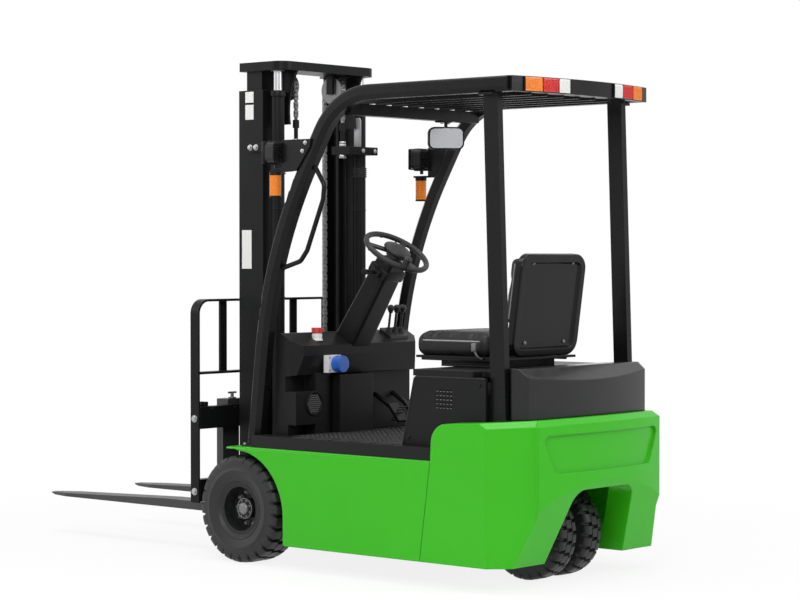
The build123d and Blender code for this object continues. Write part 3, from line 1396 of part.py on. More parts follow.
def fork():
    """Left fork arm: shank with two hooks, rounded heel and tapered blade."""
    top = UPPER_BAR_Z + BAR_H
    heel = FORK_FACE_X + FORK_T
    blade_z = FORK_BOTTOM_Z + FORK_T
    hook_x = FORK_BAR_X + FORK_HOOK_INSET
    face = outline(
        (FORK_FACE_X, FORK_BOTTOM_Z),
        (FORK_TIP_X - FORK_TIP_TAPER / 4, FORK_BOTTOM_Z),
        (FORK_TIP_X, FORK_BOTTOM_Z + FORK_TIP_T / 2),
        (FORK_TIP_X, FORK_BOTTOM_Z + FORK_TIP_T),
        (heel + 2.5 * FORK_TIP_TAPER, blade_z),
        (heel, blade_z),
        (heel, top + FORK_HOOK_H),
        (hook_x, top + FORK_HOOK_H),
        (hook_x, top),
        (FORK_FACE_X, top),
        (FORK_FACE_X, LOWER_BAR_Z),
        (hook_x, LOWER_BAR_Z),
        (hook_x, LOWER_BAR_Z - FORK_HOOK_H),
        (FORK_FACE_X, LOWER_BAR_Z - FORK_HOOK_H),
    )
    face = rounded(face, FORK_HEEL_R, (FORK_FACE_X, FORK_BOTTOM_Z))
    face = rounded(face, FORK_HEEL_R, (heel, blade_z))
    arm = slab_xz(face, FORK_Y - FORK_W / 2, FORK_Y + FORK_W / 2)
    corner = FORK_W * 0.32
    tip = slab_xy(
        outline(
            (FORK_TIP_X + CUT, 0),
            (FORK_TIP_X + CUT, corner),
            (FORK_TIP_X - FORK_TIP_TAPER, 0),
        ),
        0,
        2 * FORK_BOTTOM_Z,
    )
    outer_cut = mirrored(Pos(0, -FORK_Y - FORK_W / 2, 0) * tip)
    inner_cut = Pos(0, FORK_Y - FORK_W / 2, 0) * tip
    return arm - inner_cut - outer_cut


def load_backrest():
    """Bent flat bar over the carriage, with a middle bar and uprights."""
    half = FORK_BAR_HALF + BACKREST_T
    low = LOWER_BAR_Z - MAT_T
    top = BACKREST_TOP_Z
    inside = top - BACKREST_T
    hoop = outline((-half, low), (-half, top), (half, top), (half, low))
    hoop = rounded(hoop, BACKREST_R, (-half, top), (half, top))
    hole = outline(
        (-FORK_BAR_HALF, low - CUT),
        (-FORK_BAR_HALF, inside),
        (FORK_BAR_HALF, inside),
        (FORK_BAR_HALF, low - CUT),
    )
    hole = rounded(hole, BACKREST_R - BACKREST_T, (-FORK_BAR_HALF, inside), (FORK_BAR_HALF, inside))
    front = FORK_BAR_X + BACKREST_BAR
    frame = slab_yz(hoop - hole, FORK_BAR_X, front)
    span = FORK_BAR_HALF + CUT
    frame = frame + block(FORK_BAR_X, front, -span, span, BACKREST_MID_Z, BACKREST_MID_Z + BACKREST_T)
    middle = FORK_BAR_X + BACKREST_BAR / 2
    for y in BACKREST_INNER_YS:
        upright = block(
            middle - BACKREST_T / 2,
            middle + BACKREST_T / 2,
            y - BACKREST_INNER_W / 2,
            y + BACKREST_INNER_W / 2,
            BACKREST_MID_Z + CUT,
            top - CUT,
        )
        frame = frame + upright + mirrored(upright)
    return frame


# Tilt cylinders


def tilt_line():
    """Ends of the left tilt cylinder's axis."""
    rear = Vector(TILT_REAR[0], TILT_Y, TILT_REAR[1])
    eye = Vector(TILT_EYE[0], TILT_Y, TILT_EYE[1])
    return rear, eye


def tilt_barrel():
    """Left tilt cylinder barrel with its rear eye."""
    rear, eye = tilt_line()
    along = (eye - rear).normalized()
    end = rear + along * TILT_BARREL_LENGTH
    tube = bar_along(rear + along * 1.5 * TILT_NECK_R, end, TILT_BARREL_R)
    low = TILT_Y - TILT_EYE_HALF
    high = TILT_Y + TILT_EYE_HALF
    neck = drum_y(rear.X, rear.Z, TILT_NECK_R, low, high)
    neck = neck + bar_along(rear, rear + along * 1.8 * TILT_NECK_R, TILT_EYE_HALF - CUT)
    pin_hole = drum_y(rear.X, rear.Z, TILT_PIN_R + RUN_GAP, low - CUT, high + CUT)
    bore = bar_along(rear + along * 2.5 * TILT_NECK_R, end + along, TILT_ROD_R + RUN_GAP)
    return tube + neck - pin_hole - bore


def tilt_rod():
    """Left tilt cylinder rod with its front eye."""
    rear, eye = tilt_line()
    along = (eye - rear).normalized()
    neck = eye - along * (TILT_EYE_R - TILT_LUG_PLAY)
    stem = bar_along(rear + along * TILT_BARREL_LENGTH / 3, neck, TILT_ROD_R)
    low = TILT_Y - TILT_EYE_HALF
    high = TILT_Y + TILT_EYE_HALF
    ring = drum_y(eye.X, eye.Z, TILT_EYE_R, low, high)
    hole = drum_y(eye.X, eye.Z, TILT_PIN_R + TILT_EYE_PLAY, low - CUT, high + CUT)
    return stem + ring - hole


def build():
    """Make every piece and write it."""
    os.makedirs("parts", exist_ok=True)
    rubber, metal = front_wheel()
    save("front_tyre_left", rubber)
    save("front_tyre_right", mirrored(rubber))
    save("front_rim_left", metal)
    save("front_rim_right", mirrored(metal))
    twin_rubber, twin_metal = steer_wheels()
    save("steer_tyres", twin_rubber)
    save("steer_rims", twin_metal)
    save("steer_yoke", steer_yoke())
    save("drive_axle", drive_axle())
    save("main_frame", main_frame())
    save("side_panel_left", side_panel())
    save("side_panel_right", mirrored(side_panel()))
    save("counterweight", counterweight())
    save("step_sills", both(step_sill()))
    save("floor_mat", floor_mat())
    save("dash_cowl", dash_cowl())
    save("steering_column", steering_column())
    save("steering_wheel", steering_wheel())
    socket_plate, socket_cap = charge_socket()
    save("charge_socket_plate", socket_plate)
    save("charge_socket_cap", socket_cap)
    save("emergency_stop", emergency_stop())
    save("control_levers", control_levers())
    save("pedals", pedals())
    save("guard_side_left", guard_side())
    save("guard_side_right", mirrored(guard_side()))
    save("guard_posts", both(guard_post()))
    save("guard_beams", guard_beams())
    save("guard_roof_bars", guard_bars())
    amber, red, white = tail_lamps()
    save("tail_lenses_amber", both(amber))
    save("tail_lenses_red", both(red))
    save("tail_lenses_white", both(white))
    holder, housing, lens, signal = headlamp()
    save("headlamp_brackets", both(holder))
    save("headlamp_housings", both(housing))
    save("headlamp_lenses", both(lens))
    save("turn_signals", both(signal))
    save("grab_handle", grab_handle())
    shell, glass = mirror_pieces()
    save("mirror_shell", shell)
    save("mirror_glass", glass)
    save("battery", battery())
    save("battery_side_covers", both(battery_cover()))
    save("battery_front_cover", front_cover())
    save("rear_cover", rear_cover())
    save("hood_lid", hood_lid())
    save("seat_base", seat_base())
    save("seat_cushion", seat_cushion())
    pad, back_shell = seat_back()
    save("seat_back_pad", pad)
    save("seat_back_shell", back_shell)
    save("outer_mast", outer_mast())
    save("lift_barrels", lift_barrels())
    save("inner_mast", inner_mast())
    save("lift_rods", lift_rods())
    save("chain_sheaves", chain_sheaves())
    save("anchor_chains", both(chain_run(SHEAVE_X - SHEAVE_R, CHAIN_ANCHOR_Z, SHEAVE_Z)))
    save("carriage_chains", both(chain_run(SHEAVE_X + SHEAVE_R, CARRIAGE_TIE_Z[1], SHEAVE_Z)))
    save("carriage", carriage())
    save("fork_left", fork())
    save("fork_right", mirrored(fork()))
    save("load_backrest", load_backrest())
    save("tilt_barrels", both(tilt_barrel()))
    save("tilt_rods", both(tilt_rod()))


build()
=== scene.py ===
"""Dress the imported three-wheel electric forklift: finishes, fittings, soft seat, stage and camera."""

import json
import logging
import math
from collections.abc import Iterable, Iterator, Sequence
from dataclasses import dataclass
from enum import Enum

import bmesh
import bpy
from mathutils import Euler, Matrix, Vector
from mathutils.bvhtree import BVHTree


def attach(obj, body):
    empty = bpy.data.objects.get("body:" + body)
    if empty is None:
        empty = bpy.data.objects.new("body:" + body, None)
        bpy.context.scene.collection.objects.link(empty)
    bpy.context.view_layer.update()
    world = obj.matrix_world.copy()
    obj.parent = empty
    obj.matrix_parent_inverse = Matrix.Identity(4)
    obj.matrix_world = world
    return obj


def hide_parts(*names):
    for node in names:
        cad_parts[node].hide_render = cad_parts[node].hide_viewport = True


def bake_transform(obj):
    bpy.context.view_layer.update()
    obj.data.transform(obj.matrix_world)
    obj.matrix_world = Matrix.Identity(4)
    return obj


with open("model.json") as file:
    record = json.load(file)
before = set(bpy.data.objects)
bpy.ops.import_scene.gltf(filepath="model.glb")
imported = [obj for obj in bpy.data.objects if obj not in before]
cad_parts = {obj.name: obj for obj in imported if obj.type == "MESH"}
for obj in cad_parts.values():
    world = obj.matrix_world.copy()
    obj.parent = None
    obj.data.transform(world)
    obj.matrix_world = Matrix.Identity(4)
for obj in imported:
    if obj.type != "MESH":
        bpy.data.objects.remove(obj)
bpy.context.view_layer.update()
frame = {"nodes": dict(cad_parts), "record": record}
LOG = logging.getLogger("forklift")

Colour = tuple[float, float, float]
Point = tuple[float, float, float]
Profile = tuple[tuple[float, float], ...]

# Fittings are modelled in millimetres, with the origin on the floor under the front axle.
ORIGIN_SHIFT = 39.5
TO_SCENE = Matrix.Translation((ORIGIN_SHIFT / 1000.0, 0.0, 0.0)) @ Matrix.Scale(0.001, 4)
SIDES = (1.0, -1.0)
AHEAD, LEFT, UP = (1.0, 0.0, 0.0), (0.0, 1.0, 0.0), (0.0, 0.0, 1.0)
BACK, DOWN = (-1.0, 0.0, 0.0), (0.0, 0.0, -1.0)
EVEN = (1.0, 1.0, 1.0)
WHITE = (*EVEN, 1.0)


def around(count: int, radius: float, shift: float = 0.0) -> Iterator[tuple[float, float]]:
    """Space points evenly round a circle.

    Args:
        count: Number of points.
        radius: The circle's radius.
        shift: Turn of the first point, in steps between points.

    Yields:
        Both coordinates of each point, from the circle's middle.
    """
    for index in range(count):
        angle = math.tau * (index + shift) / count
        yield radius * math.cos(angle), radius * math.sin(angle)


class Grain(Enum):
    """The small relief that a surface shows close up."""

    NONE = "none"
    PEEL = "orange peel of sprayed paint"
    MOULDED = "pebbled grain of moulded plastic"
    CAST = "rough skin of cast or forged iron"
    BRUSHED = "long fine lines of drawn steel"


class Sheet:
    """A node tree with short calls that add nodes and join them."""

    def __init__(self, tree: bpy.types.NodeTree) -> None:
        """Keep the tree that the nodes go into."""
        self.tree = tree

    def add(self, kind: str, **settings: object) -> bpy.types.Node:
        """Add one node.

        Args:
            kind: The node's type, without the leading ShaderNode.
            **settings: Properties of the node by name.

        Returns:
            The new node.
        """
        prefix = "" if kind.startswith("Node") else "ShaderNode"
        node = self.tree.nodes.new(prefix + kind)
        for name, value in settings.items():
            setattr(node, name, value)
        return node

    def plug(self, socket: bpy.types.NodeSocket, value: object) -> None:
        """Give an input its value.

        Args:
            socket: The input.
            value: A socket to link from, or a plain value.
        """
        if isinstance(value, bpy.types.NodeSocket):
            self.tree.links.new(value, socket)
        else:
            socket.default_value = value

    def feed(self, node: bpy.types.Node, **inputs: object) -> bpy.types.Node:
        """Set or link a node's inputs, where an underscore in a name stands for a space.

        Args:
            node: The node to feed.
            **inputs: A socket to link from, or a value, for each named input.

        Returns:
            The same node.
        """
        for name, value in inputs.items():
            self.plug(node.inputs[name.replace("_", " ")], value)
        return node

    def math(self, operation: str, *values: object, kind: str = "Math") -> bpy.types.NodeSocket:
        """Add a Math or VectorMath node.

        Args:
            operation: Blender's name of the operation.
            *values: Value or socket for each input, in order.
            kind: The node's type.

        Returns:
            The result's socket.
        """
        node = self.add(kind, operation=operation)
        for socket, value in zip(node.inputs, values):
            self.plug(socket, value)
        return node.outputs["Value"]

    def spread(
        self, value: object, low: float, high: float, to_low: float, to_high: float
    ) -> bpy.types.NodeSocket:
        """Map one range of values on to another, clamped.

        Args:
            value: Socket with the values.
            low: Start of the range that comes in.
            high: End of the range that comes in.
            to_low: What low becomes.
            to_high: What high becomes.

        Returns:
            The mapped value's socket.
        """
        node = self.add("MapRange")
        self.feed(node, Value=value, From_Min=low, From_Max=high, To_Min=to_low, To_Max=to_high)
        return node.outputs["Result"]

    def blend(
        self, share: bpy.types.NodeSocket, first: bpy.types.NodeSocket, second: Colour
    ) -> bpy.types.NodeSocket:
        """Mix two colours.

        Args:
            share: How much of the second colour shows.
            first: The first colour.
            second: The second colour.

        Returns:
            The mixed colour's socket.
        """
        node = self.add("Mix", data_type="RGBA")
        # The node's colour sockets share their names with its other kinds, so they go by number.
        for index, value in ((0, share), (6, first), (7, (*second, 1.0))):
            self.plug(node.inputs[index], value)
        return node.outputs[2]


class EffectGroups:
    """Node groups that several finishes share."""

    def __init__(self) -> None:
        """Build every group once."""
        self.tone = self.tone_drift()
        self.edge = self.soft_edge()
        self.grain = {
            Grain.PEEL: self.noise_relief("paint_peel", 2.0, EVEN),
            Grain.CAST: self.noise_relief("cast_skin", 8.0, EVEN),
            Grain.BRUSHED: self.noise_relief("drawn_lines", 3.0, (1.0, 1.0, 0.02)),
            Grain.MOULDED: self.pebble_relief(),
        }

    @staticmethod
    def start(
        name: str, inputs: dict[str, str], outputs: dict[str, str]
    ) -> tuple[Sheet, bpy.types.Node, bpy.types.Node]:
        """Make an empty group with its sockets.

        Args:
            name: The group's name.
            inputs: Socket kind, such as Float, by input name.
            outputs: Socket kind by output name.

        Returns:
            The group's sheet, its input node and its output node.
        """
        tree = bpy.data.node_groups.new(name, "ShaderNodeTree")
        for side, sockets in (("INPUT", inputs), ("OUTPUT", outputs)):
            for label, kind in sockets.items():
                tree.interface.new_socket(label, in_out=side, socket_type="NodeSocket" + kind)
        sheet = Sheet(tree)
        return sheet, sheet.add("NodeGroupInput"), sheet.add("NodeGroupOutput")

    def tone_drift(self) -> bpy.types.NodeTree:
        """Slow drift of colour and gloss over a surface.

        Returns:
            The group.
        """
        sheet, given, made = self.start(
            "tone_drift",
            {"Colour": "Color", "Drift": "Float", "Scale": "Float", "Roughness": "Float", "Smear": "Float"},
            {"Colour": "Color", "Roughness": "Float"},
        )
        place = sheet.add("TexCoord").outputs["Object"]
        broad = sheet.feed(sheet.add("TexNoise"), Vector=place, Scale=given.outputs["Scale"], Detail=3.0)
        fine_scale = sheet.math("MULTIPLY", given.outputs["Scale"], 9.0)
        fine = sheet.feed(sheet.add("TexNoise"), Vector=place, Scale=fine_scale, Detail=5.0, Roughness=0.6)
        swing = sheet.spread(broad.outputs["Fac"], 0.3, 0.7, -1.0, 1.0)
        bright = sheet.math("MULTIPLY_ADD", swing, given.outputs["Drift"], 1.0)
        tint = sheet.feed(sheet.add("HueSaturation"), Value=bright, Color=given.outputs["Colour"])
        patchy = sheet.spread(fine.outputs["Fac"], 0.3, 0.75, -1.0, 1.0)
        smear = sheet.math("MULTIPLY", patchy, given.outputs["Smear"])
        rough = sheet.math("ADD", given.outputs["Roughness"], smear)
        sheet.feed(made, Colour=tint.outputs["Color"], Roughness=rough)
        return sheet.tree

    def soft_edge(self) -> bpy.types.NodeTree:
        """Rounded look of machined and moulded edges, with a mask of where they are.

        Returns:
            The group.
        """
        outputs = {"Normal": "Vector", "Edge": "Float"}
        sheet, given, made = self.start("soft_edge", {"Radius": "Float"}, outputs)
        round_off = sheet.feed(sheet.add("Bevel", samples=8), Radius=given.outputs["Radius"])
        normal = round_off.outputs["Normal"]
        plain = sheet.add("NewGeometry").outputs["Normal"]
        turn = sheet.math("DOT_PRODUCT", normal, plain, kind="VectorMath")
        sheet.feed(made, Normal=normal, Edge=sheet.spread(turn, 0.995, 0.8, 0.0, 1.0))
        return sheet.tree

    def noise_relief(self, name: str, detail: float, stretch: Point) -> bpy.types.NodeTree:
        """Height of a noisy relief.

        Args:
            name: The group's name.
            detail: How many finer layers the noise has.
            stretch: Scale of the noise along each axis.

        Returns:
            The group.
        """
        sheet, given, made = self.start(name, {"Scale": "Float"}, {"Height": "Float"})
        place = sheet.add("Mapping")
        sheet.feed(place, Vector=sheet.add("TexCoord").outputs["Object"], Scale=stretch)
        noise = sheet.feed(
            sheet.add("TexNoise"), Vector=place.outputs["Vector"], Scale=given.outputs["Scale"], Detail=detail
        )
        sheet.feed(made, Height=noise.outputs["Fac"])
        return sheet.tree

    def pebble_relief(self) -> bpy.types.NodeTree:
        """Height of a pebbled plastic or vinyl grain.

        Returns:
            The group.
        """
        sheet, given, made = self.start("pebble_grain", {"Scale": "Float"}, {"Height": "Float"})
        cells = sheet.feed(
            sheet.add("TexVoronoi", feature="SMOOTH_F1"),
            Vector=sheet.add("TexCoord").outputs["Object"],
            Scale=given.outputs["Scale"],
            Smoothness=0.6,
        )
        sheet.feed(made, Height=sheet.math("SUBTRACT", 1.0, cells.outputs["Distance"]))
        return sheet.tree


@dataclass(frozen=True)
class Finish:
    """One surface finish: what the Principled shader and the shared groups are set to."""

    slot: str
    colour: Colour
    roughness: float
    metallic: float = 0.0
    coat: float = 0.0
    drift: float = 0.06
    drift_scale: float = 3.0
    smear: float = 0.05
    grain: Grain = Grain.NONE
    grain_scale: float = 600.0
    grain_depth: float = 0.00004
    edge_radius: float = 0.0025
    # Edges are blended towards a pale grey: partly worn edges, partly a painted highlight along rounded
    # edges.
    edge_wear_and_sheen: float = 0.0
    edge_wear_and_sheen_colour: Colour = (0.35, 0.35, 0.35)
    specular: float = 0.5

    def material(self, groups: EffectGroups) -> bpy.types.Material:
        """Make the finish's material.

        Args:
            groups: The shared effects.

        Returns:
            A new material.
        """
        made = bpy.data.materials.new("finish_" + self.slot)
        made.use_nodes = True
        made.diffuse_color = (*self.colour, 1.0)
        sheet = Sheet(made.node_tree)
        shader = made.node_tree.nodes["Principled BSDF"]
        tone = sheet.add("Group", node_tree=groups.tone)
        sheet.feed(
            tone,
            Colour=(*self.colour, 1.0),
            Drift=self.drift,
            Scale=self.drift_scale,
            Roughness=self.roughness,
            Smear=self.smear,
        )
        edge = sheet.feed(sheet.add("Group", node_tree=groups.edge), Radius=self.edge_radius)
        colour = tone.outputs["Colour"]
        # Lighten the edges towards the pale grey: partly real wear, partly a painted highlight where the
        # edges would catch the light.
        if self.edge_wear_and_sheen > 0.0:
            share = sheet.math("MULTIPLY", edge.outputs["Edge"], self.edge_wear_and_sheen)
            colour = sheet.blend(share, colour, self.edge_wear_and_sheen_colour)
        normal = edge.outputs["Normal"]
        if self.grain is not Grain.NONE:
            relief = sheet.add("Group", node_tree=groups.grain[self.grain])
            sheet.feed(relief, Scale=self.grain_scale)
            bump = sheet.add("Bump")
            sheet.feed(bump, Height=relief.outputs["Height"], Distance=self.grain_depth, Normal=normal)
            normal = bump.outputs["Normal"]
        sheet.feed(shader, Base_Color=colour, Roughness=tone.outputs["Roughness"], Normal=normal)
        sheet.feed(shader, Metallic=self.metallic, Coat_Weight=self.coat, Specular_IOR_Level=self.specular)
        return made


class FinishBook:
    """Every finish of the truck by its slot in the record."""

    FINISHES = (
        Finish("green_paint", (0.04, 0.45, 0.008), 0.3, specular=0.22, coat=0.06, drift=0.015, smear=0.02,
               grain=Grain.PEEL, grain_scale=260.0, grain_depth=0.000006, edge_radius=0.007),
        Finish("black_paint", (0.006, 0.006, 0.0065), 0.3, specular=0.16, coat=0.02,
               grain=Grain.PEEL, grain_scale=320.0, grain_depth=0.000004),
        Finish("mast_paint", (0.007, 0.0072, 0.0075), 0.36, specular=0.12, edge_wear_and_sheen=0.12,
               grain=Grain.PEEL, grain_scale=280.0, grain_depth=0.00002),
        Finish("dark_steel", (0.03, 0.03, 0.032), 0.5, specular=0.2,
               grain=Grain.CAST, grain_scale=160.0, grain_depth=0.0004),
        Finish("fork_steel", (0.045, 0.045, 0.046), 0.45, metallic=0.3, drift=0.2, edge_wear_and_sheen=0.3,
               grain=Grain.CAST, grain_scale=120.0, grain_depth=0.0002),
        Finish("tyre_rubber", (0.02, 0.02, 0.021), 0.44, specular=0.3, drift=0.12,
               grain=Grain.CAST, grain_scale=500.0, grain_depth=0.0001),
        Finish("rim_paint", (0.018, 0.0185, 0.019), 0.3, specular=0.2, coat=0.03, grain=Grain.PEEL, edge_wear_and_sheen=0.15),
        Finish("mat_rubber", (0.022, 0.022, 0.023), 0.5, specular=0.25, drift=0.12,
               grain=Grain.MOULDED, grain_scale=700.0),
        Finish("black_plastic", (0.009, 0.009, 0.0094), 0.38, specular=0.14, edge_radius=0.004,
               grain=Grain.MOULDED, grain_scale=900.0),
        Finish("grip_plastic", (0.024, 0.024, 0.025), 0.45, specular=0.25,
               grain=Grain.MOULDED, grain_scale=1100.0),
        Finish("seat_vinyl", (0.018, 0.018, 0.019), 0.42, specular=0.2,
               grain=Grain.MOULDED, grain_scale=420.0, grain_depth=0.0002),
        Finish("chrome_rod", (0.5, 0.5, 0.51), 0.3, metallic=0.75, drift=0.02),
        Finish("chain_steel", (0.2, 0.2, 0.2), 0.35, metallic=0.6, drift=0.25, drift_scale=30.0, edge_wear_and_sheen=0.4),
        Finish("battery_case", (0.04, 0.04, 0.045), 0.45, specular=0.25, grain=Grain.PEEL),
        Finish("amber_lens", (0.82, 0.22, 0.012), 0.14, specular=0.3, coat=0.1, drift=0.03),
        Finish("red_lens", (0.6, 0.012, 0.01), 0.14, specular=0.3, coat=0.1, drift=0.03),
        Finish("white_lens", (0.78, 0.78, 0.76), 0.12, coat=0.6, drift=0.02),
        Finish("lamp_black", (0.024, 0.024, 0.025), 0.45, specular=0.2, metallic=0.2,
               grain=Grain.CAST, grain_scale=300.0),
        Finish("mirror_glass", (0.55, 0.57, 0.59), 0.1, metallic=0.35, drift=0.01, smear=0.01),
        Finish("socket_white", (0.78, 0.78, 0.77), 0.3, drift=0.02),
        Finish("socket_blue", (0.015, 0.11, 0.5), 0.25, coat=0.3, drift=0.03),
        Finish("stop_red", (0.58, 0.02, 0.015), 0.25, coat=0.3, drift=0.03),
        Finish("nut_steel", (0.17, 0.17, 0.172), 0.34, metallic=0.4, drift=0.1, edge_wear_and_sheen=0.3),
        Finish("bolt_zinc", (0.42, 0.42, 0.42), 0.32, metallic=0.9, drift=0.08),
        Finish("piping", (0.3, 0.3, 0.31), 0.5, drift=0.04),
        Finish("gloss_shell", (0.006, 0.006, 0.0062), 0.2, specular=0.18, coat=0.03, drift=0.02, smear=0.02,
               edge_radius=0.006),
        Finish("satin_cover", (0.016, 0.016, 0.0165), 0.2, specular=0.24, coat=0.06, drift=0.05,
               drift_scale=2.0, edge_radius=0.012),
        Finish("pale_label", (0.74, 0.74, 0.72), 0.4, drift=0.02),
        Finish("grey_plate", (0.4, 0.4, 0.41), 0.4, metallic=0.4, drift=0.06),
        # Near-black for thin sheets that stand in for the shade inside openings: painted shade.
        Finish("painted_hole_shade", (0.003, 0.003, 0.003), 0.8, specular=0.05, drift=0.02),
    )

    LOOKS = {"rear_cover": "satin_cover"}

    def __init__(self) -> None:
        """Make one material for each finish."""
        groups = EffectGroups()
        self.made = {finish.slot: finish.material(groups) for finish in self.FINISHES}

    def paint_nodes(self) -> None:
        """Give every carried-over node its own look, or else the material of its slot."""
        for row in frame["record"]["subparts"]:
            mesh = frame["nodes"][row["node"]].data
            mesh.materials.clear()
            mesh.materials.append(self.made[self.LOOKS.get(row["node"], row["material_slot"])])


@dataclass
class Stage:
    """Floor, world, lamps and camera of the picture."""

    camera_at: Point = (-6.80741, 7.40141, 1.30695)
    camera_turn: Point = (88.842, 0.0, 220.803)
    focal_pixels: float = 2299.377
    picture_width: float = 800.0
    sensor: float = 36.0
    far_clip: float = 200.0
    floor_size: float = 60.0
    floor_tone: float = 0.85
    floor_glow: float = 0.86
    fade_start: float = 1.2
    fade_reach: float = 3.2
    world_light: float = 0.4
    aim: Point = (0.0, 0.0, 0.9)
    boxes: tuple[tuple[str, Point, float, float, float], ...] = (
        ("key_box", (-3.5, 5.5, 4.6), 3.2, 2.4, 200.0),
        ("rear_box", (-6.0, -2.0, 3.4), 3.0, 2.2, 100.0),
        ("top_box", (-0.5, 0.8, 5.2), 4.6, 1.6, 150.0),
        ("front_box", (5.5, 4.0, 3.5), 4.0, 3.0, 60.0),
    )

    def build(self) -> None:
        """Make everything that isn't part of the truck."""
        self.shoot()
        self.lay_floor()
        self.light()
        bpy.context.scene.view_settings.view_transform = "Standard"

    def shoot(self) -> None:
        """Place the camera where the photograph was taken from."""
        camera = bpy.data.objects.new("camera", bpy.data.cameras.new("camera"))
        camera.data.sensor_width = self.sensor
        camera.data.lens = self.focal_pixels / self.picture_width * self.sensor
        camera.data.clip_end = self.far_clip
        camera.location = self.camera_at
        camera.rotation_euler = Euler([math.radians(angle) for angle in self.camera_turn])
        bpy.context.scene.collection.objects.link(camera)
        bpy.context.scene.camera = camera

    @staticmethod
    def seen_ray(sheet: Sheet) -> bpy.types.NodeSocket:
        """Tell rays that show the background from rays that light the truck.

        Args:
            sheet: The material or world that asks.

        Returns:
            A socket that is 1 on camera, glossy and transmission rays.
        """
        path = sheet.add("LightPath")
        mirrored = sheet.math("MAXIMUM", path.outputs["Is Glossy Ray"], path.outputs["Is Transmission Ray"])
        return sheet.math("MAXIMUM", path.outputs["Is Camera Ray"], mirrored)

    def lay_floor(self) -> None:
        """Make the pale floor, bright in the picture but still taking the shadow."""
        bm = bmesh.new()
        bmesh.ops.create_grid(bm, x_segments=1, y_segments=1, size=self.floor_size / 2)
        mesh = bpy.data.meshes.new("floor")
        bm.to_mesh(mesh)
        bm.free()
        floor = bpy.data.objects.new("floor", mesh)
        bpy.context.scene.collection.objects.link(floor)
        paint = bpy.data.materials.new("pale_floor")
        paint.use_nodes = True
        sheet = Sheet(paint.node_tree)
        shader = paint.node_tree.nodes["Principled BSDF"]
        tone = (self.floor_tone, self.floor_tone, self.floor_tone, 1.0)
        sheet.feed(shader, Base_Color=tone, Roughness=0.8, Specular_IOR_Level=0.0)
        glow = sheet.feed(sheet.add("Emission"), Color=WHITE, Strength=1.0)
        reach = sheet.math("LENGTH", sheet.add("NewGeometry").outputs["Position"], kind="VectorMath")
        fade = sheet.spread(reach, self.fade_start, self.fade_reach, self.floor_glow, 1.0)
        share = sheet.math("MULTIPLY", self.seen_ray(sheet), fade)
        mixed = sheet.add("MixShader")
        for socket, source in zip(mixed.inputs, (share, shader.outputs[0], glow.outputs[0])):
            sheet.plug(socket, source)
        sheet.feed(paint.node_tree.nodes["Material Output"], Surface=mixed.outputs[0])
        mesh.materials.append(paint)

    def light(self) -> None:
        """Set the even white world and the soft boxes."""
        world = bpy.data.worlds.new("studio")
        bpy.context.scene.world = world
        world.use_nodes = True
        sheet = Sheet(world.node_tree)
        back = world.node_tree.nodes["Background"]
        strength = sheet.spread(self.seen_ray(sheet), 0.0, 1.0, self.world_light, 1.0)
        sheet.feed(back, Color=WHITE, Strength=strength)
        for name, place, width, depth, power in self.boxes:
            lamp = bpy.data.lights.new(name, "AREA")
            lamp.shape = "RECTANGLE"
            lamp.size = width
            lamp.size_y = depth
            lamp.energy = power
            rig = bpy.data.objects.new(name, lamp)
            rig.location = place
            towards = Vector(self.aim) - Vector(place)
            rig.rotation_euler = towards.to_track_quat("-Z", "Y").to_euler()
            bpy.context.scene.collection.objects.link(rig)


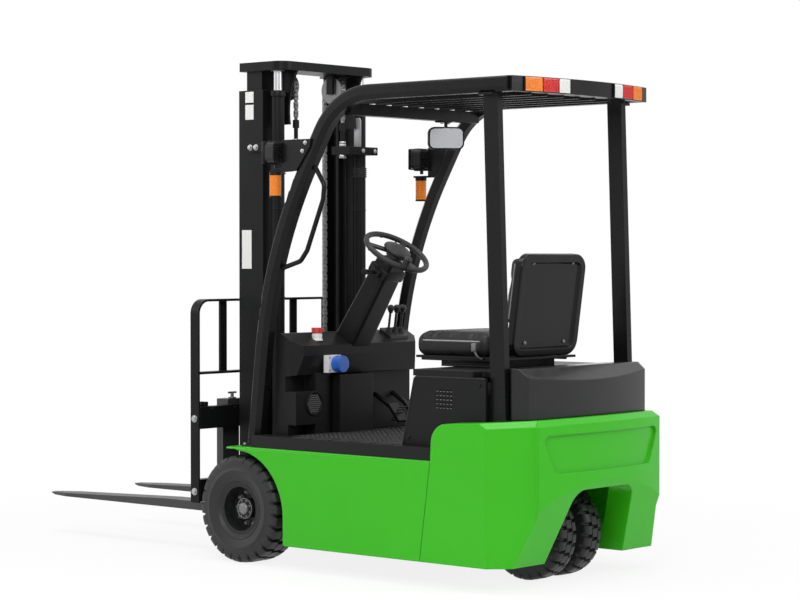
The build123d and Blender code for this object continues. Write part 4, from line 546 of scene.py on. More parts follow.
class Form:
    """A mesh in the making, in millimetres, with a frame that its next shapes are placed in."""

    def __init__(self, place: Matrix | None = None) -> None:
        """Start empty, in the truck's own frame or a given one."""
        self.bm = bmesh.new()
        self.place = place or Matrix.Identity(4)

    def soften(self, edges: Iterable[bmesh.types.BMEdge], width: float, steps: int = 2) -> None:
        """Round edges off.

        Args:
            edges: The edges to round.
            width: How far the rounding reaches.
            steps: Faces across the rounding.
        """
        bmesh.ops.bevel(
            self.bm,
            geom=list(set(edges)),
            offset=width,
            offset_type="OFFSET",
            segments=steps,
            profile=0.5,
            affect="EDGES",
            clamp_overlap=True,
            material=-1,
        )

    def block(self, low: Point, high: Point, bevel: float = 0.0, steps: int = 2) -> list[bmesh.types.BMVert]:
        """Add a block with rounded edges.

        Args:
            low: Its lowest corner.
            high: Its highest corner.
            bevel: Rounding of its edges.
            steps: Faces across the rounding.

        Returns:
            The block's eight corners, which are gone if it was rounded.
        """
        first, last = Vector(low), Vector(high)
        size = Matrix.Diagonal((*(last - first), 1.0))
        matrix = self.place @ Matrix.Translation((first + last) / 2) @ size
        verts = bmesh.ops.create_cube(self.bm, size=1.0, matrix=matrix)["verts"]
        if bevel > 0.0:
            self.soften((edge for vert in verts for edge in vert.link_edges), bevel, steps)
        return verts

    def rod(
        self, start: Point, end: Point, radius: float, tip: float = 0.0, sides: int = 20, bevel: float = 0.0
    ) -> None:
        """Add a round or many-sided bar.

        Args:
            start: Middle of its first end.
            end: Middle of its last end.
            radius: Radius at the first end.
            tip: Radius at the last end, if it differs.
            sides: Number of its sides.
            bevel: Rounding of its end rims.
        """
        first, last = Vector(start), Vector(end)
        along = last - first
        matrix = Matrix.Translation((first + last) / 2) @ along.to_track_quat("Z", "Y").to_matrix().to_4x4()
        made = bmesh.ops.create_cone(
            self.bm,
            cap_ends=True,
            segments=sides,
            radius1=radius,
            radius2=tip or radius,
            depth=along.length,
            matrix=self.place @ matrix,
        )
        if bevel > 0.0:
            caps = {face for vert in made["verts"] for face in vert.link_faces if len(face.verts) == sides}
            self.soften((edge for face in caps for edge in face.edges), bevel)

    def lathe(
        self, profile: Sequence[tuple[float, float]], middle: Point, axis: Point = LEFT, steps: int = 40
    ) -> None:
        """Add a turned shape.

        Args:
            profile: Radius and distance along the axis of each point, closed by being turned.
            middle: Where distance nought is.
            axis: Direction of the axis.
            steps: Faces round it.
        """
        along = (self.place.to_3x3() @ Vector(axis)).normalized()
        centre = self.place @ Vector(middle)
        outwards = along.orthogonal().normalized()
        verts = [self.bm.verts.new(centre + outwards * radius + along * reach) for radius, reach in profile]
        edges = [self.bm.edges.new(pair) for pair in zip(verts, verts[1:])]
        bmesh.ops.spin(
            self.bm,
            geom=verts + edges,
            cent=centre,
            axis=along,
            angle=math.tau,
            steps=steps,
            use_merge=True,
            use_duplicate=False,
        )

    def ring(
        self, middle: Point, axis: Point, major: float, minor: float, steps: int = 40, sides: int = 10
    ) -> None:
        """Add a round ring.

        Args:
            middle: Its centre.
            axis: Its axis.
            major: Radius of its centreline.
            minor: Radius of its section.
            steps: Faces round it.
            sides: Faces round its section.
        """
        turns = [math.tau * index / sides for index in range(sides + 1)]
        self.lathe([(major + minor * math.cos(a), minor * math.sin(a)) for a in turns], middle, axis, steps)

    def plate(self, points: Sequence[Point], through: Point, bevel: float = 0.0, steps: int = 2) -> None:
        """Add a flat plate.

        Args:
            points: Its outline.
            through: Its thickness as a vector.
            bevel: Rounding of its edges.
            steps: Faces across the rounding.
        """
        face = self.bm.faces.new([self.bm.verts.new(self.place @ Vector(point)) for point in points])
        made = bmesh.ops.extrude_face_region(self.bm, geom=[face])["geom"]
        moved = [item for item in made if isinstance(item, bmesh.types.BMVert)]
        bmesh.ops.translate(self.bm, vec=self.place.to_3x3() @ Vector(through), verts=moved)
        if bevel > 0.0:
            edges = {edge for vert in [*face.verts, *moved] for edge in vert.link_edges}
            self.soften(edges, bevel, steps)

    def tube(self, points: Sequence[Point], radius: float, sides: int = 5, closed: bool = False) -> None:
        """Add a bent tube along a smooth line.

        Args:
            points: Control points of its centreline.
            radius: Its radius.
            sides: Fineness of its section.
            closed: Whether its ends meet.
        """
        curve = bpy.data.curves.new("line", "CURVE")
        curve.dimensions = "3D"
        curve.bevel_depth = radius
        curve.bevel_resolution = sides
        curve.use_fill_caps = not closed
        line = curve.splines.new("NURBS")
        line.points.add(len(points) - 1)
        for knot, point in zip(line.points, points):
            knot.co = (*(self.place @ Vector(point)), 1.0)
        line.order_u = 3
        line.use_endpoint_u = not closed
        line.use_cyclic_u = closed
        line.resolution_u = 8
        holder = bpy.data.objects.new("line", curve)
        mesh = bpy.data.meshes.new_from_object(holder)
        self.bm.from_mesh(mesh)
        bpy.data.objects.remove(holder)
        bpy.data.curves.remove(curve)
        bpy.data.meshes.remove(mesh)

    def bolt(self, seat: Point, axis: Point, radius: float = 8.0, height: float = 6.0) -> None:
        """Add a hexagon bolt head with its washer.

        Args:
            seat: Where it sits on its plate.
            axis: Direction that it points in.
            radius: Radius over its corners.
            height: Height of the head.
        """
        foot, out = Vector(seat), Vector(axis)
        washer = height * 0.25
        self.rod(foot, foot + out * washer, radius * 1.3, sides=20)
        self.rod(foot + out * washer, foot + out * (washer + height), radius, sides=6, bevel=radius * 0.12)

    def mesh(self, name: str, crease: float = 35.0) -> bpy.types.Mesh:
        """Close the form and turn it into a mesh in the scene's metres.

        Args:
            name: The mesh's name.
            crease: Edges sharper than this many degrees stay sharp.

        Returns:
            The new mesh.
        """
        bmesh.ops.remove_doubles(self.bm, verts=self.bm.verts, dist=0.01)
        bmesh.ops.recalc_face_normals(self.bm, faces=self.bm.faces)
        bmesh.ops.transform(self.bm, matrix=TO_SCENE, verts=self.bm.verts)
        mesh = bpy.data.meshes.new(name)
        self.bm.to_mesh(mesh)
        self.bm.free()
        mesh.shade_smooth()
        mesh.set_sharp_from_angle(angle=math.radians(crease))
        return mesh


@dataclass
class Assembly:
    """A group of pieces that are made together."""

    book: FinishBook

    def piece(
        self,
        form: Form | bpy.types.Mesh,
        name: str,
        slot: str,
        body: str = "",
        look: str = "",
        nodes: Sequence[str] = (),
    ) -> bpy.types.Object:
        """Put a form into the scene.

        Args:
            form: The form, or its mesh.
            name: The piece's name.
            slot: The record's material slot that it belongs to.
            body: The body that it rides on, if any.
            look: Its finish, where that isn't the slot's own.
            nodes: The nodes that it stands for.

        Returns:
            The new piece.
        """
        mesh = form.mesh(name) if isinstance(form, Form) else form
        made = bpy.data.objects.new(name, mesh)
        bpy.context.scene.collection.objects.link(made)
        mesh.materials.append(self.book.made[look or slot])
        if body:
            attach(made, body)
        if nodes:
            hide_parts(*nodes)
        LOG.info("%s: %d faces on %s", name, len(mesh.polygons), body or "two bodies")
        return made


@dataclass(frozen=True)
class WheelSize:
    """Sizes of one kind of wheel, where y, disc and cap are distances from the truck's middle."""

    x: float
    y: float
    radius: float
    width: float
    seat: float
    lugs: int
    disc: float
    cap: float
    circle: float
    nuts: int


@dataclass
class Tyre:
    """One solid tyre: flank with rings, rounded shoulders and three rows of tread blocks.

    Heights are shares of the rubber's depth, and places across are shares of the half width.
    """

    size: WheelSize
    side: float
    groove: float = 0.13
    groove_faces: float = 2.9
    tread_from: float = 0.72
    ramp: float = 0.12
    rows: float = 0.3
    stagger: float = 0.25
    slant: float = 0.1
    steps: int = 12
    flank: Profile = (
        (0.0, 0.62), (0.02, 0.74), (0.08, 0.78), (0.12, 0.86), (0.15, 0.9), (0.18, 0.91), (0.2, 0.88),
        (0.24, 0.9), (0.34, 0.96), (0.44, 0.985), (0.46, 1.0), (0.5, 1.0), (0.52, 0.98), (0.64, 0.965),
        (0.76, 0.94), (0.84, 0.92), (0.91, 0.88), (0.96, 0.8), (0.985, 0.7), (0.995, 0.55), (1.0, 0.37),
        (1.0, 0.33), (0.88, 0.31), (0.88, 0.28), (1.0, 0.26), (1.0, 0.0),
    )

    def build(self, form: Form) -> None:
        """Add the tyre to a form, and sink the grooves between its tread blocks.

        Args:
            form: The form that takes it.
        """
        size = self.size
        half = size.width / 2
        high = size.radius - size.seat
        centre = Vector((size.x, self.side * size.y, size.radius))
        right = [(size.seat + share * high, across * half) for share, across in self.flank]
        left = [(radius, -across) for radius, across in right[:-1]]
        known = set(form.bm.verts)
        form.lathe([*right, *reversed(left), right[0]], centre, steps=size.lugs * self.steps)
        for vert in set(form.bm.verts) - known:
            spot = vert.co - centre
            share = (math.hypot(spot.x, spot.z) - size.seat) / high
            across = spot.y / half
            row = 0 if abs(across) < self.rows else math.copysign(1, across)
            turn = math.atan2(spot.z, spot.x) / math.tau * size.lugs + 0.5
            turn = turn + self.stagger * row + self.slant * abs(across)
            if share > self.tread_from and turn % 1.0 < self.groove_faces / self.steps:
                sunk = self.groove * high * min(1.0, (share - self.tread_from) / self.ramp)
                vert.co -= Vector((spot.x, 0.0, spot.z)).normalized() * sunk


@dataclass
class WheelSet(Assembly):
    """Tyres, wheel nuts and hub caps of the two drive wheels and the twin steered wheels."""

    drive: WheelSize = WheelSize(
        x=0.0, y=438.0, radius=228.0, width=178.0, seat=103.0, lugs=26,
        disc=436.0, cap=486.0, circle=70.0, nuts=10,
    )
    steer: WheelSize = WheelSize(
        x=-1230.0, y=85.0, radius=190.0, width=118.0, seat=88.0, lugs=24,
        disc=93.0, cap=115.0, circle=60.0, nuts=6,
    )
    dome: Profile = ((26.5, -6.0), (26.5, 0.0), (24.0, 4.0), (17.0, 7.0), (9.0, 8.5), (0.0, 9.0))
    stud_reach: float = 19.0
    hub_bolts: int = 8
    hub_circle: float = 35.0

    def build(self) -> None:
        """Make every tyre and its wheel's fasteners."""
        for name, side in zip(("left", "right"), SIDES):
            rubber, metal = Form(), Form()
            Tyre(self.drive, side).build(rubber)
            self.hub(metal, self.drive, side)
            node, body = f"front_tyre_{name}", f"front_wheel_{name}"
            self.piece(rubber, f"{node}_tread", "tyre_rubber", body, nodes=(node,))
            self.piece(metal, f"front_wheel_nuts_{name}", "rim_paint", body, look="nut_steel")
        twins, nuts = Form(), Form()
        for side in SIDES:
            Tyre(self.steer, side).build(twins)
            self.hub(nuts, self.steer, side)
        self.piece(twins, "steer_tyres_tread", "tyre_rubber", "steer_wheels", nodes=("steer_tyres",))
        self.piece(nuts, "steer_wheel_nuts", "rim_paint", "steer_wheels", look="nut_steel")

    def hub(self, form: Form, size: WheelSize, side: float) -> None:
        """Add a ring of wheel nuts on studs, and a domed cap with its bolts on the hub.

        Args:
            form: The form that takes them.
            size: The wheel's sizes.
            side: 1 on the left and -1 on the right.
        """
        out = (0.0, side, 0.0)
        for x, z in around(size.nuts, size.circle):
            spot = (size.x + x, side * size.disc, size.radius + z)
            form.bolt(spot, out, 9.0, 11.0)
            stud = (spot[0], side * (size.disc + self.stud_reach), spot[2])
            form.rod(spot, stud, 4.5, sides=12, bevel=1.0)
        form.lathe(self.dome, (size.x, side * size.cap, size.radius), out, 32)
        form.ring((size.x, side * (size.cap - 9.0), size.radius), LEFT, 42.0, 2.2, 40, 8)
        for x, z in around(self.hub_bolts, self.hub_circle, 0.5):
            form.bolt((size.x + x, side * (size.cap - 12.0), size.radius + z), out, 4.5, 6.0)


@dataclass
class SeatSuite(Assembly):
    """The operator's seat: foam pads in vinyl, piping, moulded shell, belt stalk and suspension bellows."""

    front_x: float = -715.0
    rear_x: float = -1125.0
    half: float = 240.0
    low: float = 892.0
    high: float = 990.0
    inset: float = 9.0
    hinge: Point = (-1195.0, 0.0, 892.0)
    lean: float = 8.0
    fill: float = 0.7
    voxel: float = 0.006
    pressure: float = 4.0
    frames: int = 20
    swell: float = 0.012
    seam_depth: float = 0.007
    seam_width: float = 0.008
    cushion_seams: Profile = ((0, -0.79), (0, -0.98), (1, 0.155), (1, -0.155))
    back_seams: Profile = ((1, 0.13), (1, -0.13), (2, 1.16))
    cord: float = 3.6
    cord_lift: float = 0.012
    bar: tuple[Point, ...] = (
        (-757, 150, 878), (-735, 150, 876), (-728, 130, 874),
        (-728, -130, 874), (-735, -150, 876), (-757, -150, 878),
    )
    stalk: tuple[Point, ...] = (
        (-1085, 226, 884), (-1080, 243, 890), (-1072, 249, 905), (-1066, 250, 920),
    )

    def build(self) -> None:
        """Make the pads, the shell and the small fittings."""
        level, inset = Matrix.Identity(4), self.inset
        cushion = Form()
        start = (self.rear_x + inset, inset - self.half, self.low + 1)
        cushion.block(start, (self.front_x - inset, self.half - inset, self.high - inset), 34, 5)
        mesh = self.inflate(cushion, "seat_cushion_foam")
        self.sew(mesh, level, 2, self.cushion_seams)
        loops = [self.outline(mesh, level, 2, (self.low + self.high) / 2000 + self.cord_lift)]
        self.pad(mesh, "seat_cushion_foam", "seat_cushion")
        back = Matrix.Translation(self.hinge) @ Matrix.Rotation(math.radians(-self.lean), 4, "Y")
        rest = Form(back)
        rest.block((2, -194, 127), (53, 194, 400), 24, 4)
        mesh = self.inflate(rest, "seat_back_foam")
        leaning = TO_SCENE @ back @ TO_SCENE.inverted()
        self.sew(mesh, leaning, 0, self.back_seams)
        into = leaning.inverted()
        middle = sum((into @ vert.co).x for vert in mesh.vertices) / len(mesh.vertices)
        loops.append(self.outline(mesh, leaning, 0, middle))
        self.pad(mesh, "seat_back_foam", "seat_back_pad")
        piping = Form()
        for loop in loops:
            piping.tube(loop, self.cord, 3, closed=True)
        self.piece(piping, "seat_piping", "seat_vinyl", "battery_hood", look="piping")
        self.shell(back)
        self.fittings()

    def pad(self, mesh: bpy.types.Mesh, name: str, node: str) -> None:
        """Put a foam pad into the scene.

        Args:
            mesh: The pad.
            name: The piece's name.
            node: The node that it stands for.
        """
        made = self.piece(mesh, name, "seat_vinyl", "battery_hood", nodes=(node,))

    def inflate(self, form: Form, name: str) -> bpy.types.Mesh:
        """Swell a block of foam in its cover by cloth simulation.

        Args:
            form: The block, a little smaller than the pad.
            name: Name of the mesh.

        Returns:
            The swollen mesh.
        """
        scene = bpy.context.scene
        start = bpy.data.objects.new(name + "_block", form.mesh(name + "_block"))
        scene.collection.objects.link(start)
        remesh = start.modifiers.new("voxels", "REMESH")
        remesh.mode = "VOXEL"
        remesh.voxel_size = self.voxel
        mesh = self.baked(start, name)
        bpy.data.objects.remove(start)
        rest = [vert.co.copy() for vert in mesh.vertices]
        cover = bpy.data.objects.new(name + "_cover", mesh)
        scene.collection.objects.link(cover)
        cloth = cover.modifiers.new("cloth", "CLOTH")
        cloth.settings.use_pressure = True
        cloth.settings.uniform_pressure_force = self.pressure
        cloth.settings.effector_weights.gravity = 0.0
        cloth.point_cache.frame_start = 1
        cloth.point_cache.frame_end = self.frames
        for number in range(1, self.frames + 1):
            scene.frame_set(number)
        mesh = self.baked(cover, name)
        bpy.data.objects.remove(cover)
        scene.frame_set(1)
        for vert, at_rest in zip(mesh.vertices, rest):
            move = vert.co - at_rest
            if move.length > self.swell:
                vert.co = at_rest + move * (self.swell / move.length)
        bm = bmesh.new()
        bm.from_mesh(mesh)
        axes = {f"use_axis_{axis}": True for axis in "xyz"}
        bmesh.ops.smooth_vert(bm, verts=bm.verts, factor=0.5, **axes)
        bm.to_mesh(mesh)
        bm.free()
        mesh.shade_smooth()
        return mesh

    @staticmethod
    def baked(source: bpy.types.Object, name: str) -> bpy.types.Mesh:
        """Read an object's mesh with its modifiers applied.

        Args:
            source: The object.
            name: Name of the new mesh.

        Returns:
            The new mesh.
        """
        graph = bpy.context.evaluated_depsgraph_get()
        mesh = bpy.data.meshes.new_from_object(source.evaluated_get(graph))
        mesh.name = name
        return mesh

    def sew(self, mesh: bpy.types.Mesh, place: Matrix, face: int, seams: Profile) -> None:
        """Pull the cover in along straight seams on the side that a person touches.

        Args:
            mesh: The pad.
            place: The pad's own frame in the scene.
            face: Axis of that frame that the touched side looks along.
            seams: Axis across each seam, and its place on that axis.
        """
        into = place.inverted()
        out = Vector([float(axis == face) for axis in range(3)])
        spots = [into @ vert.co for vert in mesh.vertices]
        middle = sum(spot[face] for spot in spots) / len(spots)
        for vert, spot in zip(mesh.vertices, spots):
            if spot[face] >= middle:
                offsets = ((spot[axis] - at) / self.seam_width for axis, at in seams)
                pull = sum(self.seam_depth * math.exp(-(offset**2)) for offset in offsets)
                vert.co = place @ (spot - out * pull)

    @staticmethod
    def outline(
        mesh: bpy.types.Mesh, place: Matrix, flat: int, level: float, count: int = 44
    ) -> list[Vector]:
        """Trace round a pad where a plane cuts it.

        Args:
            mesh: The pad, in the scene's metres.
            place: The pad's own frame in the scene.
            flat: Axis of that frame that the plane is square to.
            level: Where the plane is on that axis.
            count: Number of points.

        Returns:
            Points on the pad, in the truck's millimetres.
        """
        into = place.inverted()
        spots = [into @ vert.co for vert in mesh.vertices]
        middle = sum(spots, Vector()) / len(spots)
        middle[flat] = level
        first, second = (axis for axis in range(3) if axis != flat)
        tree = BVHTree.FromPolygons(spots, [tuple(face.vertices) for face in mesh.polygons])
        points = []
        for along, across in around(count, 1.0):
            ray = Vector()
            ray[first], ray[second] = along, across
            hit = tree.ray_cast(middle + ray, -ray)[0]
            if hit is not None:
                points.append(TO_SCENE.inverted() @ place @ hit)
        return points

    def shell(self, back: Matrix) -> None:
        """Mould the shell behind the backrest, with a raised rim, a sunken panel and four bolts.

        Args:
            back: Frame of the backrest.
        """
        form = Form(back)
        verts = form.block((-26, -215, 4.1), (0, 215, 420))
        along = {edge for vert in verts for edge in vert.link_edges}
        lean = (back.to_3x3() @ Vector(AHEAD)).normalized()
        spans = {edge: edge.verts[0].co - edge.verts[1].co for edge in along}
        form.soften([edge for edge, span in spans.items() if abs(span.normalized().dot(lean)) > 0.9], 64, 8)
        form.bm.faces.ensure_lookup_table()
        form.bm.normal_update()
        rear = min(form.bm.faces, key=lambda f: f.normal.dot(lean))

        def inset(width: float) -> list[bmesh.types.BMFace]:
            """Draw the rear face in by a width, and give the faces left round it."""
            drawn = {"faces": [rear], "thickness": width, "depth": 0, "use_even_offset": True}
            return bmesh.ops.inset_region(form.bm, **drawn)["faces"]

        inset(5)
        rim = inset(26)
        bmesh.ops.translate(form.bm, vec=-lean * 7, verts=list({v for f in rim for v in f.verts}))
        inset(10)
        bmesh.ops.translate(form.bm, vec=lean * 11, verts=list(rear.verts))
        moulding = ("seat_shell_moulding", "black_plastic", "battery_hood")
        self.piece(form, *moulding, look="gloss_shell", nodes=("seat_back_shell",))
        bolts = Form(back)
        for side in (-130.0, 130.0):
            for high in (60.0, 385.0):
                bolts.bolt((-24, side, high), BACK, 7, 4)
        self.piece(bolts, "seat_shell_bolts", "chrome_rod", "battery_hood", look="nut_steel")

    def fittings(self) -> None:
        """Add the suspension's bellows, the slide rails with their bar and the belt's buckle stalk."""
        folds, rails, buckle = Form(), Form(), Form()
        for level in range(4):
            z = 850.0 + 8.0 * level
            folds.block((-1130, -196, z), (-852, 196, z + 6), 2.5)
        self.piece(folds, "seat_bellows", "seat_vinyl", "battery_hood", look="mat_rubber")
        for side in SIDES:
            y = side * 208
            rails.block((-1180, y - 9, 872), (-760, y + 9, 884), 2)
            rails.bolt((-780, y, 884), UP, 6, 3)
        rails.tube(self.bar, 5)
        self.piece(rails, "seat_rails", "black_paint", "battery_hood")
        buckle.tube(self.stalk, 4.5)
        buckle.block((-1076, 243, 914), (-1054, 257, 948), 3)
        self.piece(buckle, "belt_buckle", "chrome_rod", "battery_hood", look="nut_steel")


@dataclass
class MastFittings(Assembly):
    """Leaf chains, chain wheels, clamp bolts, cylinder glands and blank plates of the mast."""

    chain_y: float = 150.0
    sheave: tuple[float, float] = (62.0, 2030.0)
    sheave_radius: float = 54.0
    anchor_z: float = 1885.0
    tie_z: float = 560.0
    pitch: float = 19.0
    wrap_links: int = 9
    lift: tuple[float, float] = (8.0, 262.0)
    barrel_top: float = 2004.0
    beam_low: float = 2092.0
    beam_top: float = 2130.0
    clamp_z: float = 1762.5
    web_y: float = 305.0
    face: Profile = (
        (60, -2), (60, 1.6), (44, 1.6), (42, 0.4), (24, 0.4), (22, 1.8), (10, 1.8), (9, 2.6), (0, 2.6),
        (0, -2), (60, -2),
    )
    rim: Profile = ((11.4, -2), (11.4, 1.2), (24, 1.2), (60, 1.2), (60, -2), (11.4, -2))
    gland: Profile = (
        (19.6, 2), (28, 2), (32, 0), (33, -3), (33, -22), (30, -26), (28.2, -26), (28.2, -4),
        (19.6, -1), (19.6, 2),
    )
    rod_cap: Profile = ((30, 0), (30, -2), (28, -3), (19.4, -3), (19.4, 0), (30, 0))
    blanks: tuple[tuple[float, float, float, float], ...] = (
        (112, 162, 1957, 2004), (112, 162, 1884, 1948), (125, 183, 1241, 1408),
    )
    guard_y: float = -231.0
    guard: Profile = ((-31, 1780), (11, 1780), (11, 1896), (3, 1910), (-23, 1910), (-31, 1896))

    def build(self) -> None:
        """Make the chains and everything bolted to the mast."""
        self.chains()
        self.sheaves()
        self.glands()
        self.clamps()
        self.plates()

    def run(self, name: str, node: str, x: float, low: float, low_body: str) -> None:
        """Make a straight run of leaf chain on both sides.

        Args:
            name: The piece's name.
            node: The node that it stands for.
            x: The run's place along the truck.
            low: Its lowest point.
            low_body: Not used.
        """
        high = self.sheave[1]
        form = Form()
        count = round((high - low) / self.pitch)
        step = (high - low) / count
        for side in SIDES:
            for index in range(count):
                form.place = Matrix.Translation((x, side * self.chain_y, low + (index + 0.5) * step))
                self.link(form, step, index % 2)
        made = self.piece(form, name, "chain_steel", nodes=(node,))
        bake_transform(made)

    @staticmethod
    def link(form: Form, step: float, row: int) -> None:
        """Add one pitch of chain: its leaves and a pin, along Z.

        Args:
            form: The form that takes it, with its place at the link's middle.
            step: Length of a pitch.
            row: 0 for outer leaves and 1 for inner leaves.
        """
        for across in ((-10.5, -1.5, 7.5) if row else (-6.0, 3.0)):
            form.block((-6.5, across, -0.8 * step), (6.5, across + 3.0, 0.8 * step), 2.4, 1)
        form.rod((0, -12.5, 0.5 * step), (0, 12.5, 0.5 * step), 3.4, sides=10)

    def chains(self) -> None:
        """Make both runs of chain and the wrap over the chain wheels."""
        x, z = self.sheave
        radius = self.sheave_radius
        self.run("anchor_chain_links", "anchor_chains", x - radius, self.anchor_z, "outer_mast")
        self.run("carriage_chain_links", "carriage_chains", x + radius, self.tie_z, "carriage")
        wrap = Form()
        for side in SIDES:
            middle = Matrix.Translation((x, side * self.chain_y, z))
            for index in range(self.wrap_links):
                turn = Matrix.Rotation(-math.pi * (index + 0.5) / self.wrap_links, 4, "Y")
                wrap.place = middle @ turn @ Matrix.Translation((radius, 0.0, 0.0))
                self.link(wrap, self.pitch, index % 2)
        self.piece(wrap, "chain_wrap", "chain_steel", "inner_mast")

    def sheaves(self) -> None:
        """Add flanges, a lightened face and a hub to the chain wheels."""
        x, z = self.sheave
        form = Form()
        for side in SIDES:
            form.lathe(self.face, (x, side * (self.chain_y + 13), z), (0.0, side, 0.0), 40)
            form.lathe(self.rim, (x, side * (self.chain_y - 13), z), (0.0, -side, 0.0), 40)
        self.piece(form, "sheave_flanges", "dark_steel", "inner_mast", look="nut_steel")

    def glands(self) -> None:
        """Add the gland nuts and bands of the lift barrels, the rods' caps and the top beam's bolts."""
        nuts, caps = Form(), Form()
        for side in SIDES:
            x, y = self.lift[0], side * self.lift[1]
            nuts.lathe(self.gland, (x, y, self.barrel_top), UP, 36)
            for level in (1500.0, 1120.0):
                nuts.ring((x, y, level), UP, 28.6, 2.0, 32, 8)
            caps.lathe(self.rod_cap, (x, y, self.beam_low), UP, 32)
            caps.bolt((x, y, self.beam_top), UP, 15, 3)
            for bolt_x in (75.0, 165.0):
                caps.bolt((bolt_x, side * 255.0, self.beam_top), UP, 9, 3)
        self.piece(nuts, "lift_gland_nuts", "mast_paint", "outer_mast")
        self.piece(caps, "lift_rod_caps", "mast_paint", "inner_mast", look="nut_steel")

    def clamps(self) -> None:
        """Add the bolts of the cylinder clamps, the chain anchors' nuts and the cylinders' ribbed sleeves."""
        form, sleeves = Form(), Form()
        x, z = self.sheave[0] - self.sheave_radius, self.clamp_z
        for side in SIDES:
            for bolt_x in (78.0, 112.0):
                form.bolt((bolt_x, side * 325.0, z), (0, side, 0), 10, 8)
            for y in (300, 222):
                form.rod((-45, side * y, z), (-54, side * y, z), 10, sides=6, bevel=1)
            for low, high, radius in ((1780, 1792, 16), (1793, 1803, 15), (1745, 1728, 16)):
                y = side * self.chain_y
                form.rod((x, y, low), (x, y, high), radius, sides=6, bevel=1.5)
            for level in range(5):
                sleeves.ring((x, side * self.lift[1], 1650.0 + 9.0 * level), UP, 29.0, 4.0, 28, 8)
        self.piece(form, "clamp_bolts", "chrome_rod", "outer_mast", look="bolt_zinc")
        self.piece(sleeves, "cylinder_sleeves", "mast_paint", "outer_mast", look="mat_rubber")

    def plates(self) -> None:
        """Add the blank plates on the left channel and the pale guard plate by the right cylinder."""
        form, guard = Form(), Form()
        for x0, x1, z0, z1 in self.blanks:
            form.block((x0, self.web_y, z0), (x1, self.web_y + 0.9, z1), 0.3, 1)
        self.piece(form, "mast_blank_plates", "socket_white", "outer_mast", look="pale_label")
        guard.plate([(x, self.guard_y, z) for x, z in self.guard], (0.0, 3.0, 0.0), 1.0)
        self.piece(guard, "cylinder_guard_plate", "chain_steel", "outer_mast", look="grey_plate")


@dataclass
class CarriageFittings(Assembly):
    """Fork lock pins, bolts, roller caps and fork stops of the carriage."""

    pin_x: float = 286.0
    fork_y: float = 264.0
    hook_top: float = 673.0

    def build(self) -> None:
        """Make the small parts of the carriage."""
        pins, bolts, stops = Form(), Form(), Form()
        x, z = self.pin_x, self.hook_top
        for side in SIDES:
            y = side * self.fork_y
            pins.rod((x, y, z), (x, y, z + 6), 17, sides=24, bevel=1.5)
            pins.rod((x, y, z), (x, y, z + 30), 7.5, sides=16, bevel=1)
            pins.rod((x, y - 24, z + 26), (x, y + 24, z + 26), 4.5, sides=12, bevel=1)
            for level in (596.0, 282.0):
                bolts.bolt((279, side * 500.0, level), (0, side, 0), 12, 7)
            for level in (625.0, 575.0, 262.0, 312.0):
                bolts.bolt((293, side * 182.0, level), AHEAD, 9, 6)
            for level in (345.0, 600.0):
                bolts.rod((129, side * 195.0, level), (129, side * 204.0, level), 22, sides=24, bevel=2)
            stops.block((255, side * 452 - 12, 647), (293, side * 452 + 12, 668), 2)
        self.piece(pins, "fork_lock_pins", "fork_steel", "carriage", look="nut_steel")
        self.piece(bolts, "backrest_bolts", "mast_paint", "carriage", look="bolt_zinc")
        self.piece(stops, "fork_stops", "mast_paint", "carriage")


